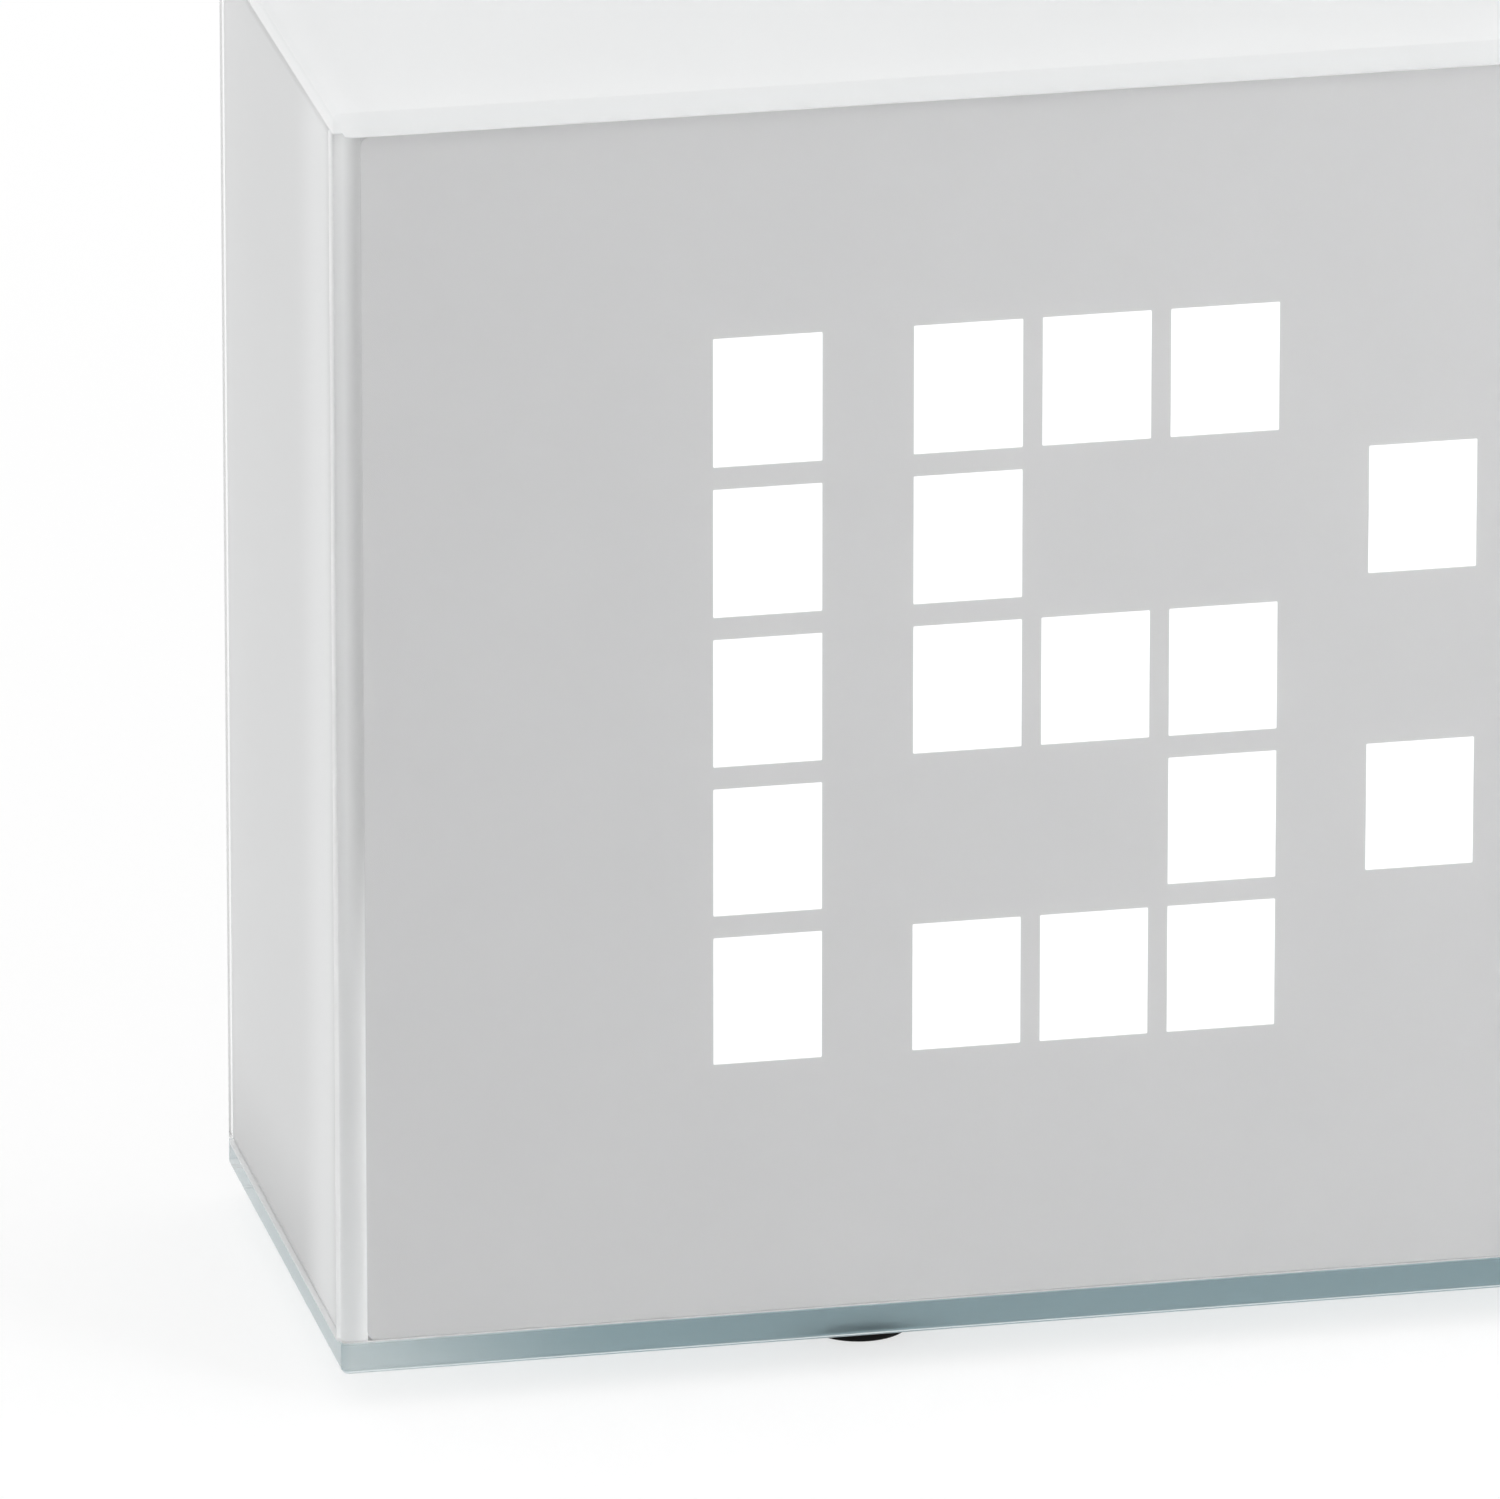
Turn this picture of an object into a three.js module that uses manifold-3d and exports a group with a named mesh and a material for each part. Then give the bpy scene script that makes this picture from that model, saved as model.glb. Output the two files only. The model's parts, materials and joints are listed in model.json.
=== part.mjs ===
// A digital alarm clock: a clear acrylic shell, open at the back, round a white housing. Behind its front
// pane lie a silver-grey film, a diffuser and a baffle with a light well for each of the display's cells.
// Four digits are three cells wide and five high, with a colon of two cells between the pairs.
// Millimetres. X runs to the right as the clock faces you, Y to the rear and Z up. The origin is on the
// table, under the middle of the case.

import * as THREE from "three";
import { mergeVertices } from "three/addons/utils/BufferGeometryUtils.js";
import Module from "manifold-3d";

const wasm = await Module();
wasm.setup();

// Case
const caseHeight = 80;
const caseDepth = 37.5;
const shellWall = 1.8;
const edgeRadius = 0.5;
const cavityRadius = 0.6;

// Display cells. The case's width follows from theirs, and their height from the case's.
const cellWidth = 6.7;
const cellGapAcross = 1.2;
const cellGapUp = 1.4;
const digitColumns = 3;
const cellRows = 5;
const digitGap = 5.6;
const marginTop = 14.1;
const marginBottom = 16.1;

// Feet
const footHeight = 2;
const footRadius = 3.2;
const footRecess = 0.5;
const footTaper = 0.3;
const footInsetFront = 7.4;
const footInsetRear = 8;
const footInsetEnds = 33.5;

// Clearances and overruns
const seat = 0.1;
const fit = 0.15;
const slip = 0.25;
const overrun = 1;
const arcSteps = 4;
const roundSteps = 20;
const smallSteps = 10;
const weldTolerance = 0.0001;

// Front stack, from the pane to the rear
const filmThickness = 0.4;
const diffuserThickness = 0.8;
const baffleFlange = 2;
const baffleDepth = 8;
const baffleRim = 2;
const wellTaperShare = 0.7;
const boardThickness = 1.6;
const ledWidth = 3.5;
const ledHeight = 2.8;
const ledProud = 1.5;

// White housing
const housingWall = 1.6;
const bossRadius = 3.5;
const bossLength = 12;
const bossInset = 4.2;
const bossWeb = 2;
const pilotDepth = 9;

// Rear cover
const coverInset = 1;
const coverThickness = 2.2;
const postRadius = 2.6;

// Screws
const screwRadius = 1.25;
const screwHeadRadius = 2.4;
const screwHeadHeight = 1.4;
const coverScrewLength = 9;
const smallScrewRadius = 0.9;
const smallHeadRadius = 1.8;
const smallHeadHeight = 1.2;
const smallScrewLength = 5;
const driveSlotWidth = 0.6;
const driveSlotDepth = 0.6;
const driveSlotShare = 1.2;
const headTopShare = 0.8;
const threadFit = 0.12;

// Rear buttons and their switches
const buttonNames = ["time", "alarm", "hour", "minute", "dimmer"];
const buttonPitch = 9;
const buttonRadius = 3;
const buttonFlange = 1;
const buttonFlangeHeight = 1.2;
const buttonProud = 0.8;
const buttonCrown = 0.35;
const stemRadius = 1.7;
const pressTravel = 0.6;
const plungerRadius = 1.4;
const plungerSpare = 0.3;
const plungerInside = 1;
const switchSize = 6;
const switchHeight = 3.5;
const buttonRowHeightShare = 0.66;

// Main board
const boardMargin = 3.5;
const boardPartGap = 1;

// Alarm on and off slider
const sliderLength = 5;
const sliderWidth = 3.4;
const sliderTravel = 3;
const sliderProud = 0.8;
const sliderFlange = 1.2;
const sliderFlangeHeight = 1;
const slideSwitchHeight = 3.6;
const slideSwitchLength = 12.5;
const slideSwitchWidth = 5;
const sliderHeightShare = 0.44;
const sliderGrooveCount = 3;
const sliderStemShare = 0.8;

// Power inlet
const jackHeightShare = 0.24;
const jackSize = 9;
const jackBoreRadius = 3.2;
const jackPinRadius = 1;
const jackPinRecess = 1.4;
const jackBoreDepth = 7;
const jackHoleRadius = 4;

// Loudspeaker
const speakerRadius = 14;
const speakerAcrossShare = 0.29;
const speakerHeightShare = 0.5;
const speakerRim = 2;
const speakerRimHeight = 1.2;
const speakerDepth = 5.2;
const speakerWall = 0.8;
const speakerBackRim = 1;
const speakerBackHole = 3.9;
const magnetRadius = 6.5;
const magnetHeight = 2.2;
const coneThickness = 0.6;
const domeRadius = 4;
const domeHeight = 1.2;
const domeShoulderShare = 0.8;
const speakerCollarHeight = 3;
const speakerCollarWall = 1.4;
const grilleRadius = 11;
const grilleSlotWidth = 1.4;
const grillePitch = 3;

// Backup battery
const cellRadius = 10;
const cellThickness = 3.2;
const cellRimStep = 0.8;
const batteryAcrossShare = 0.29;
const batteryHeightShare = 0.5;
const batteryClearance = 0.5;
const batteryWall = 1.4;
const batteryFloor = 1.2;
const contactThickness = 0.3;
const contactWidth = 6;
const contactTongueShare = 0.6;
const contactRise = 0.15;
const doorThickness = 1.2;
const doorLip = 1.6;
const doorRibHeight = 1.2;
const doorRibWall = 1;
const doorNotchRadius = 3;

// Snooze bar
const snoozeLength = 44;
const snoozeWidth = 9;
const snoozeSetBack = 22.5;
const snoozeProud = 1;
const snoozeCrown = 0.4;
const snoozeFlange = 1.4;
const snoozeFlangeHeight = 1.2;
const snoozeDrop = 3;
const snoozeStemRadius = 2.2;
const snoozeBoardLength = 22;
const snoozeBoardWidth = 10;
const snoozeBoardThickness = 1.2;
const bridgeThickness = 1.2;
const bridgeWall = 1.6;

// Small parts on the boards
const chipLength = 10;
const chipWidth = 7;
const chipHeight = 1.5;
const clockChipLength = 7;
const clockChipWidth = 5;
const chipLegShare = 0.3;
const chipLegHeightShare = 0.7;
const crystalRadius = 1;
const crystalLength = 6;
const chipAcrossShare = 0.2;
const chipUpShare = 0.12;
const crystalDownShare = 0.08;
const ribbonWidth = 14;
const ribbonThickness = 0.4;
const ribbonSocketHeight = 2;
const ribbonSocketProud = 1.4;
const ribbonLength = 22;

// Places worked out from the sizes above
const digitWidth = digitColumns * cellWidth + (digitColumns - 1) * cellGapAcross;
const faceWidth = 4 * digitWidth + cellWidth + 6 * digitGap;
const faceHeight = caseHeight - 2 * shellWall;
const cellsHeight = faceHeight - marginTop - marginBottom;
const cellHeight = (cellsHeight - (cellRows - 1) * cellGapUp) / cellRows;
const caseWidth = faceWidth + 2 * shellWall;
const caseBottom = footHeight;
const caseMiddle = caseBottom + caseHeight / 2;
const caseTop = caseBottom + caseHeight;
const frontY = -caseDepth / 2;
const rearY = caseDepth / 2;
const cellsMiddle = caseBottom + shellWall + marginBottom + cellsHeight / 2;

const filmY = frontY + shellWall + seat;
const diffuserY = filmY + filmThickness + seat;
const baffleY = diffuserY + diffuserThickness + seat;
const ledBoardY = baffleY + baffleDepth + seat;
const ledBoardRear = ledBoardY + boardThickness;
const coverRear = rearY - coverInset;
const coverY = coverRear - coverThickness;
const housingY = baffleY + baffleFlange + seat;
const housingRear = coverY - seat;
const housingWidth = faceWidth - 2 * fit;
const housingHeight = faceHeight - 2 * fit;
const innerWidth = housingWidth - 2 * housingWall;
const innerHeight = housingHeight - 2 * housingWall;
const bossAcross = innerWidth / 2 - bossInset;
const bossUp = innerHeight / 2 - bossInset;

const buttonZ = caseBottom + caseHeight * buttonRowHeightShare;
const sliderZ = caseBottom + caseHeight * sliderHeightShare;
const jackZ = caseBottom + caseHeight * jackHeightShare;
const plungerProud = pressTravel + plungerSpare;
const switchBoreDepth = plungerInside + pressTravel + slip;

// The main board reaches past its outermost switches and the inlet, and stands clear of the magnet behind it
const mainBoardRearGap = speakerDepth + magnetHeight + 2 * seat + boardPartGap;
const mainBoardRear = coverY - mainBoardRearGap;
const mainBoardY = mainBoardRear - boardThickness;
const buttonRowWidth = (buttonNames.length - 1) * buttonPitch;
const mainScrewX = (buttonRowWidth + switchSize) / 2 + boardPartGap + postRadius;
const mainBoardWidth = 2 * (mainScrewX + boardMargin);
const mainBoardTop = buttonZ + switchSize / 2 + boardMargin;
const mainBoardBottom = jackZ - jackSize / 2 - boardMargin;
const mainBoardHeight = mainBoardTop - mainBoardBottom;
const mainBoardMiddle = (mainBoardTop + mainBoardBottom) / 2;
const speakerX = -caseWidth * speakerAcrossShare;
const speakerZ = caseBottom + caseHeight * speakerHeightShare;
const batteryX = caseWidth * batteryAcrossShare;
const batteryZ = caseBottom + caseHeight * batteryHeightShare;
const snoozeY = frontY + snoozeSetBack;

// Middles of the cells' columns, from the left: two digits, the colon and two digits
const digitLefts = [0, 1, 2, 3].map(
  (n) => -faceWidth / 2 + digitGap + n * (digitWidth + digitGap) + (n > 1 ? cellWidth + digitGap : 0),
);
const cellPitchAcross = cellWidth + cellGapAcross;
const cellPitchUp = cellHeight + cellGapUp;
const rowZ = (row) => cellsMiddle + (row - (cellRows - 1) / 2) * cellPitchUp;

function cellCentres() {
  const centres = [];
  for (const left of digitLefts) {
    for (let column = 0; column < digitColumns; column += 1) {
      for (let row = 0; row < cellRows; row += 1) {
        centres.push([left + cellWidth / 2 + column * cellPitchAcross, rowZ(row)]);
      }
    }
  }
  for (const row of [1, cellRows - 2]) centres.push([0, rowZ(row)]);
  return centres;
}

const corners = [[-1, 1], [1, 1], [-1, -1], [1, -1]];

// Colours
const finish = (color, roughness, metalness = 0, extra = {}) =>
  new THREE.MeshStandardMaterial({ color, roughness, metalness, ...extra });
const clearAcrylic = finish(0xdfeaec, 0.05, 0, { transparent: true, opacity: 0.35 });
const whitePlastic = finish(0xeceded, 0.4);
const greyFilm = finish(0xc9c9c9, 0.45);
const milkySheet = finish(0xf6f6f4, 0.6);
const blackPlastic = finish(0x1c1c1e, 0.5);
const boardGreen = finish(0x1f5a3a, 0.55);
const steel = finish(0xb9bcc0, 0.35, 0.9);
const rubber = finish(0x101011, 0.85);
const brassy = finish(0xc8a860, 0.35, 0.9);
const paperCone = finish(0x2b2b2d, 0.8);
const flatCable = finish(0xe8e6de, 0.5);

// Joining and cutting
function solidOf(geometry) {
  const bare = geometry.clone();
  bare.deleteAttribute("normal");
  bare.deleteAttribute("uv");
  const merged = mergeVertices(bare, weldTolerance);
  return new wasm.Manifold(
    new wasm.Mesh({
      numProp: 3,
      vertProperties: merged.attributes.position.array,
      triVerts: new Uint32Array(merged.index.array),
    }),
  );
}

function geometryOf(solid) {
  const made = solid.getMesh();
  const positions = new Float32Array(made.numVert * 3);
  for (let n = 0; n < made.numVert; n += 1) {
    positions.set(made.vertProperties.subarray(n * made.numProp, n * made.numProp + 3), n * 3);
  }
  const geometry = new THREE.BufferGeometry();
  geometry.setAttribute("position", new THREE.BufferAttribute(positions, 3));
  geometry.setIndex(new THREE.BufferAttribute(new Uint32Array(made.triVerts), 1));
  geometry.computeVertexNormals();
  return geometry;
}

const joined = (geometries) => geometries.map(solidOf).reduce((all, next) => all.add(next));

function shaped(keep, cut = []) {
  let solid = joined(keep);
  if (cut.length) solid = solid.subtract(joined(cut));
  return geometryOf(solid);
}

// Outlines lie in X and Z. An upright plate runs to the rear from y = 0, a level one up from z = 0.
function roundedOutline(width, height, radius) {
  const r = Math.min(radius, width / 2, height / 2);
  const x = width / 2 - r;
  const y = height / 2 - r;
  const outline = new THREE.Shape();
  outline.moveTo(-x, -y - r);
  outline.absarc(x, -y, r, -Math.PI / 2, 0);
  outline.absarc(x, y, r, 0, Math.PI / 2);
  outline.absarc(-x, y, r, Math.PI / 2, Math.PI);
  outline.absarc(-x, -y, r, Math.PI, 1.5 * Math.PI);
  return outline;
}

function uprightPlate(outline, thickness, steps = arcSteps) {
  const geometry = new THREE.ExtrudeGeometry(outline, {
    depth: thickness,
    bevelEnabled: false,
    curveSegments: steps,
  });
  return geometry.rotateX(Math.PI / 2).translate(0, thickness, 0);
}

const levelPlate = (outline, thickness, steps = arcSteps) =>
  new THREE.ExtrudeGeometry(outline, { depth: thickness, bevelEnabled: false, curveSegments: steps });

// A block from its middle in x and z, its front y and its size
const block = (width, depth, height, x = 0, y = 0, z = 0) =>
  new THREE.BoxGeometry(width, depth, height).translate(x, y + depth / 2, z);

// A round bar along Y from y to y + length
const barY = (radius, length, x = 0, y = 0, z = 0, steps = roundSteps) =>
  new THREE.CylinderGeometry(radius, radius, length, steps).translate(x, y + length / 2, z);

const barZ = (radius, length, x = 0, y = 0, z = 0, steps = roundSteps) =>
  new THREE.CylinderGeometry(radius, radius, length, steps)
    .rotateX(Math.PI / 2)
    .translate(x, y, z + length / 2);

// A profile of [radius, along] pairs, turned about Y
const turned = (profile, steps = roundSteps) =>
  new THREE.LatheGeometry(profile.map(([radius, along]) => new THREE.Vector2(radius, along)), steps);

const clock = new THREE.Group();

function place(name, geometry, material, x = 0, y = 0, z = 0) {
  const mesh = new THREE.Mesh(geometry, material);
  mesh.name = name;
  mesh.position.set(x, y, z);
  clock.add(mesh);
  return mesh;
}

const footPlaces = [];
for (const side of [-1, 1]) {
  footPlaces.push([side * (caseWidth / 2 - footInsetEnds), frontY + footInsetFront]);
  footPlaces.push([side * (caseWidth / 2 - footInsetEnds), rearY - footInsetRear]);
}

// The clear shell: five walls and soft edges, with an opening for the snooze bar and seats for the feet
function clearShell() {
  const outer = new THREE.ExtrudeGeometry(
    roundedOutline(caseWidth - 2 * edgeRadius, caseHeight - 2 * edgeRadius, edgeRadius / 2),
    {
      depth: caseDepth - 2 * edgeRadius,
      bevelEnabled: true,
      bevelThickness: edgeRadius,
      bevelSize: edgeRadius,
      bevelSegments: 2,
      curveSegments: 4,
    },
  )
    .rotateX(Math.PI / 2)
    .translate(0, rearY - edgeRadius, 0);
  const cavity = uprightPlate(roundedOutline(faceWidth, faceHeight, cavityRadius), caseDepth)
    .translate(0, frontY + shellWall, 0);
  const snoozeHole = levelPlate(
    roundedOutline(snoozeLength + 2 * slip, snoozeWidth + 2 * slip, snoozeWidth),
    shellWall + 2 * overrun,
  ).translate(0, snoozeY, caseHeight / 2 - shellWall - overrun);
  const seats = footPlaces.map(([x, y]) =>
    barZ(footRadius + slip, footRecess + overrun, x, y, -caseHeight / 2 - overrun));
  return shaped([outer], [cavity, snoozeHole, ...seats]);
}

// The white housing: a sleeve with screw bosses at its rear corners and a bridge under the snooze bar
const bridgeTop = caseTop - shellWall - fit - housingWall;
const snoozeFlangeTop = bridgeTop - slip;
const snoozeStemFoot = snoozeFlangeTop - snoozeFlangeHeight - snoozeDrop;
const snoozeSwitchTop = snoozeStemFoot - seat - plungerProud;
const snoozeBoardTop = snoozeSwitchTop - switchHeight - seat;
const snoozeBoardZ = snoozeBoardTop - snoozeBoardThickness;
const bridgeZ = snoozeBoardZ - seat - bridgeThickness;
const bridgeLength = snoozeLength + 2 * (snoozeFlange + slip) + 2 * bridgeWall;

function innerHousing() {
  const length = housingRear - housingY;
  const sleeve = uprightPlate(roundedOutline(housingWidth, housingHeight, cavityRadius), length);
  const hollow = uprightPlate(roundedOutline(innerWidth, innerHeight, cavityRadius), length + 2 * overrun)
    .translate(0, -overrun, 0);
  const snoozeHole = levelPlate(
    roundedOutline(snoozeLength + 2 * slip, snoozeWidth + 2 * slip, snoozeWidth),
    housingWall + 2 * overrun,
  ).translate(0, snoozeY - housingY, innerHeight / 2 - overrun);
  const walls = shaped([sleeve], [hollow, snoozeHole]);
  const added = [];
  const pilots = [];
  for (const side of [-1, 1]) {
    for (const level of [-1, 1]) {
      const reach = bossInset + housingWall / 2;
      added.push(barY(bossRadius, bossLength, side * bossAcross, length - bossLength, level * bossUp,
        smallSteps));
      added.push(block(reach, bossLength, bossWeb, side * (bossAcross + reach / 2), length - bossLength,
        level * bossUp));
      added.push(block(bossWeb, bossLength, reach, side * bossAcross, length - bossLength,
        level * (bossUp + reach / 2)));
      pilots.push(barY(screwRadius + threadFit, pilotDepth + overrun, side * bossAcross,
        length - pilotDepth, level * bossUp, smallSteps));
    }
    const wallHeight = bridgeTop + housingWall / 2 - bridgeZ;
    added.push(block(bridgeWall, snoozeBoardWidth, wallHeight, side * (bridgeLength - bridgeWall) / 2,
      snoozeY - snoozeBoardWidth / 2 - housingY, bridgeZ + wallHeight / 2 - caseMiddle));
  }
  added.push(block(bridgeLength, snoozeBoardWidth, bridgeThickness, 0,
    snoozeY - snoozeBoardWidth / 2 - housingY, bridgeZ + bridgeThickness / 2 - caseMiddle));
  return shaped([walls, ...added], pilots);
}

place("clear_shell", clearShell(), clearAcrylic, 0, 0, caseMiddle);
place("inner_housing", innerHousing(), whitePlastic, 0, housingY, caseMiddle);

// Film and diffuser
const sheetOutline = roundedOutline(faceWidth - 2 * fit, faceHeight - 2 * fit, cavityRadius);
place("face_film", uprightPlate(sheetOutline, filmThickness), greyFilm, 0, filmY, caseMiddle);
place("diffuser_sheet", uprightPlate(sheetOutline, diffuserThickness), milkySheet, 0, diffuserY, caseMiddle);

// The baffle: a flange the size of the face and a block of tapered light wells, one behind each cell
const blockWidth = 4 * digitWidth + cellWidth + 4 * digitGap + 2 * baffleRim;
const blockHeight = cellsHeight + 2 * baffleRim;
const ledScrewUp = blockHeight / 2 + postRadius + slip;
const ledScrewAcross = (digitLefts[3] + digitWidth / 2 + digitLefts[2] + digitWidth / 2) / 2;

function lightBaffle() {
  const rise = cellsMiddle - caseMiddle;
  const keep = [
    uprightPlate(sheetOutline, baffleFlange),
    block(blockWidth, baffleDepth, blockHeight, 0, 0, rise),
  ];
  const cut = [];
  for (const side of [-1, 1]) {
    for (const level of [-1, 1]) {
      const x = side * ledScrewAcross;
      const z = rise + level * ledScrewUp;
      keep.push(barY(postRadius, baffleDepth, x, 0, z, smallSteps));
      keep.push(block(2 * postRadius, baffleDepth, postRadius, x, 0, z - (level * postRadius) / 2));
      cut.push(barY(smallScrewRadius + threadFit, smallScrewLength, x,
        baffleDepth - smallScrewLength + overrun, z, smallSteps));
    }
  }
  for (const [x, z] of cellCentres()) {
    // A square frustum, full size at the face and narrower at the lamp
    const well = new THREE.CylinderGeometry(Math.SQRT1_2 * wellTaperShare, Math.SQRT1_2, 1, 4, 1)
      .rotateY(Math.PI / 4)
      .scale(cellWidth, baffleDepth, cellHeight)
      .translate(x, baffleDepth / 2, z - caseMiddle);
    cut.push(well);
  }
  return shaped(keep, cut);
}

place("light_baffle", lightBaffle(), whitePlastic, 0, baffleY, caseMiddle);

// The lamp board: a lamp in each well, and a socket for the flat cable on its rear
const ledBoardHeight = 2 * (ledScrewUp + postRadius);
const ribbonSocketZ = mainBoardBottom + boardMargin;
const ribbonSocketWidth = ribbonWidth + 2 * ribbonSocketHeight;

function ledBoard() {
  const keep = [block(blockWidth, boardThickness, ledBoardHeight)];
  const cut = [];
  for (const [x, z] of cellCentres()) {
    keep.push(block(ledWidth, ledProud + boardThickness / 2, ledHeight, x, -ledProud, z - cellsMiddle));
  }
  for (const side of [-1, 1]) {
    for (const level of [-1, 1]) {
      cut.push(barY(smallScrewRadius + slip, boardThickness + 2 * overrun, side * ledScrewAcross,
        -overrun, level * ledScrewUp, smallSteps));
    }
  }
  keep.push(block(ribbonSocketWidth, boardThickness / 2 + ribbonSocketProud, ribbonSocketHeight, 0,
    boardThickness / 2, ribbonSocketZ - cellsMiddle));
  return shaped(keep, cut);
}

place("led_board", ledBoard(), boardGreen, 0, ledBoardY, cellsMiddle);

// A pan-head screw along Y, with its head at the rear and its seat at y = 0
function screw(radius, length, headRadius, headHeight) {
  const body = turned([
    [0, -length],
    [radius / 2, -length],
    [radius, -length + radius],
    [radius, 0],
    [headRadius, 0],
    [headRadius, headHeight / 2],
    [headRadius * headTopShare, headHeight],
    [0, headHeight],
  ], smallSteps);
  const slotLength = headRadius * driveSlotShare;
  const slots = [
    block(slotLength, headHeight, driveSlotWidth, 0, headHeight - driveSlotDepth),
    block(driveSlotWidth, headHeight, slotLength, 0, headHeight - driveSlotDepth),
  ];
  return shaped([body], slots);
}

const smallScrew = screw(smallScrewRadius, smallScrewLength, smallHeadRadius, smallHeadHeight);
corners.forEach(([side, level], n) => {
  place(`led_board_screw_${n + 1}`, smallScrew, steel, side * ledScrewAcross, ledBoardRear + seat,
    cellsMiddle + level * ledScrewUp);
});

// The main board, screwed to posts on the rear cover
const mainScrewUp = mainBoardHeight / 2 - boardMargin;
const mainScrews = corners.map(([side, level]) => [side * mainScrewX, level * mainScrewUp]);

function mainBoard() {
  const keep = [
    block(mainBoardWidth, boardThickness, mainBoardHeight),
    block(ribbonSocketWidth, boardThickness / 2 + ribbonSocketProud, ribbonSocketHeight, 0,
      -ribbonSocketProud, ribbonSocketZ - mainBoardMiddle),
  ];
  const cut = mainScrews.map(([x, z]) =>
    barY(smallScrewRadius + slip, boardThickness + 2 * overrun, x, -overrun, z, smallSteps));
  return shaped(keep, cut);
}

place("main_board", mainBoard(), boardGreen, 0, mainBoardY, mainBoardMiddle);

mainScrews.forEach(([x, z], n) => {
  place(`main_board_screw_${n + 1}`, smallScrew, steel, x, mainBoardY - seat, mainBoardMiddle + z)
    .rotation.set(0, 0, Math.PI);
});

// Chips on the front of the main board, with their legs as a thin foot all round
function chip(length, width) {
  const body = block(length - chipHeight, chipHeight, width);
  const legs = block(length, chipHeight * chipLegShare, width - chipHeight / 2, 0,
    chipHeight * chipLegHeightShare);
  return shaped([body, legs]);
}

const chipX = mainBoardWidth * chipAcrossShare;
const chipY = mainBoardY - seat - chipHeight;
const chipZ = mainBoardMiddle + mainBoardHeight * chipUpShare;
place("driver_chip", chip(chipLength, chipWidth), blackPlastic, -chipX, chipY, chipZ);
place("clock_chip", chip(clockChipLength, clockChipWidth), blackPlastic, chipX, chipY, chipZ);
place("quartz_crystal",
  new THREE.CylinderGeometry(crystalRadius, crystalRadius, crystalLength, smallSteps)
    .rotateZ(Math.PI / 2),
  steel, chipX, mainBoardY - seat - crystalRadius, mainBoardMiddle - mainBoardHeight * crystalDownShare);

// The flat cable, arched up between the boards' sockets: a quarter turn, a leg, a half turn, and back down
function ribbonCable() {
  const startY = ledBoardY + boardThickness + ribbonSocketProud + seat;
  const endY = mainBoardY - ribbonSocketProud - seat;
  const bend = (endY - startY) / 4;
  const legTop = bend + ribbonLength / 2 - Math.PI * bend;
  const half = ribbonThickness / 2;
  const outline = new THREE.Shape();
  outline.moveTo(0, half);
  outline.absarc(0, bend, bend - half, -Math.PI / 2, 0);
  outline.lineTo(bend - half, legTop);
  outline.absarc(2 * bend, legTop, bend + half, Math.PI, 0, true);
  outline.lineTo(3 * bend + half, bend);
  outline.absarc(4 * bend, bend, bend - half, Math.PI, 1.5 * Math.PI);
  outline.lineTo(4 * bend, -half);
  outline.absarc(4 * bend, bend, bend + half, 1.5 * Math.PI, Math.PI, true);
  outline.lineTo(3 * bend - half, legTop);
  outline.absarc(2 * bend, legTop, bend - half, 0, Math.PI);
  outline.lineTo(bend + half, bend);
  outline.absarc(0, bend, bend + half, 0, -Math.PI / 2, true);
  return levelPlate(outline, ribbonWidth)
    .rotateZ(Math.PI / 2)
    .rotateY(Math.PI / 2)
    .translate(-ribbonWidth / 2, startY, ribbonSocketZ);
}

place("ribbon_cable", ribbonCable(), flatCable);

// Rear buttons. Each cap has a flange inside the cover and a stem that bears on its switch's plunger.
const switchTop = mainBoardRear + seat + switchHeight;
const buttonX = (n) => n * buttonPitch - buttonRowWidth / 2;

function tactSwitch() {
  const body = block(switchSize, switchHeight, switchSize);
  const bore = barY(plungerRadius + slip, switchBoreDepth + overrun, 0, switchHeight - switchBoreDepth, 0,
    smallSteps);
  return shaped([body], [bore]);
}

function plunger() {
  return barY(plungerRadius, plungerInside + plungerProud, 0, -plungerInside, 0, smallSteps);
}

// y = 0 is the flange's front face
function rearButton(stemLength) {
  const capTop = buttonFlangeHeight + slip + coverThickness + buttonProud;
  return turned([
    [0, -stemLength],
    [stemRadius, -stemLength],
    [stemRadius, 0],
    [buttonRadius + buttonFlange, 0],
    [buttonRadius + buttonFlange, buttonFlangeHeight],
    [buttonRadius, buttonFlangeHeight],
    [buttonRadius, capTop - buttonCrown],
    [buttonRadius - buttonCrown, capTop - buttonCrown / 4],
    [buttonRadius / 2, capTop],
    [0, capTop],
  ]);
}

const buttonFlangeY = coverY - slip - buttonFlangeHeight;
const buttonStem = buttonFlangeY - (switchTop + plungerProud + seat);
buttonNames.forEach((name, n) => {
  place(`${name}_switch`, tactSwitch(), blackPlastic, buttonX(n), mainBoardRear + seat, buttonZ);
  place(`${name}_plunger`, plunger(), whitePlastic, buttonX(n), switchTop, buttonZ);
  place(`${name}_button`, rearButton(buttonStem), whitePlastic, buttonX(n), buttonFlangeY, buttonZ);
});

// The alarm slider, at its off end, over its slide switch
const sliderX = -sliderTravel / 2;
const sliderFlangeLength = sliderLength + 2 * sliderTravel + 2 * sliderFlange;
const sliderFlangeY = coverY - slip - sliderFlangeHeight;
const slideSwitchTop = mainBoardRear + seat + slideSwitchHeight;

function slideSwitch() {
  return block(slideSwitchLength, slideSwitchHeight, slideSwitchWidth);
}

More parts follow.
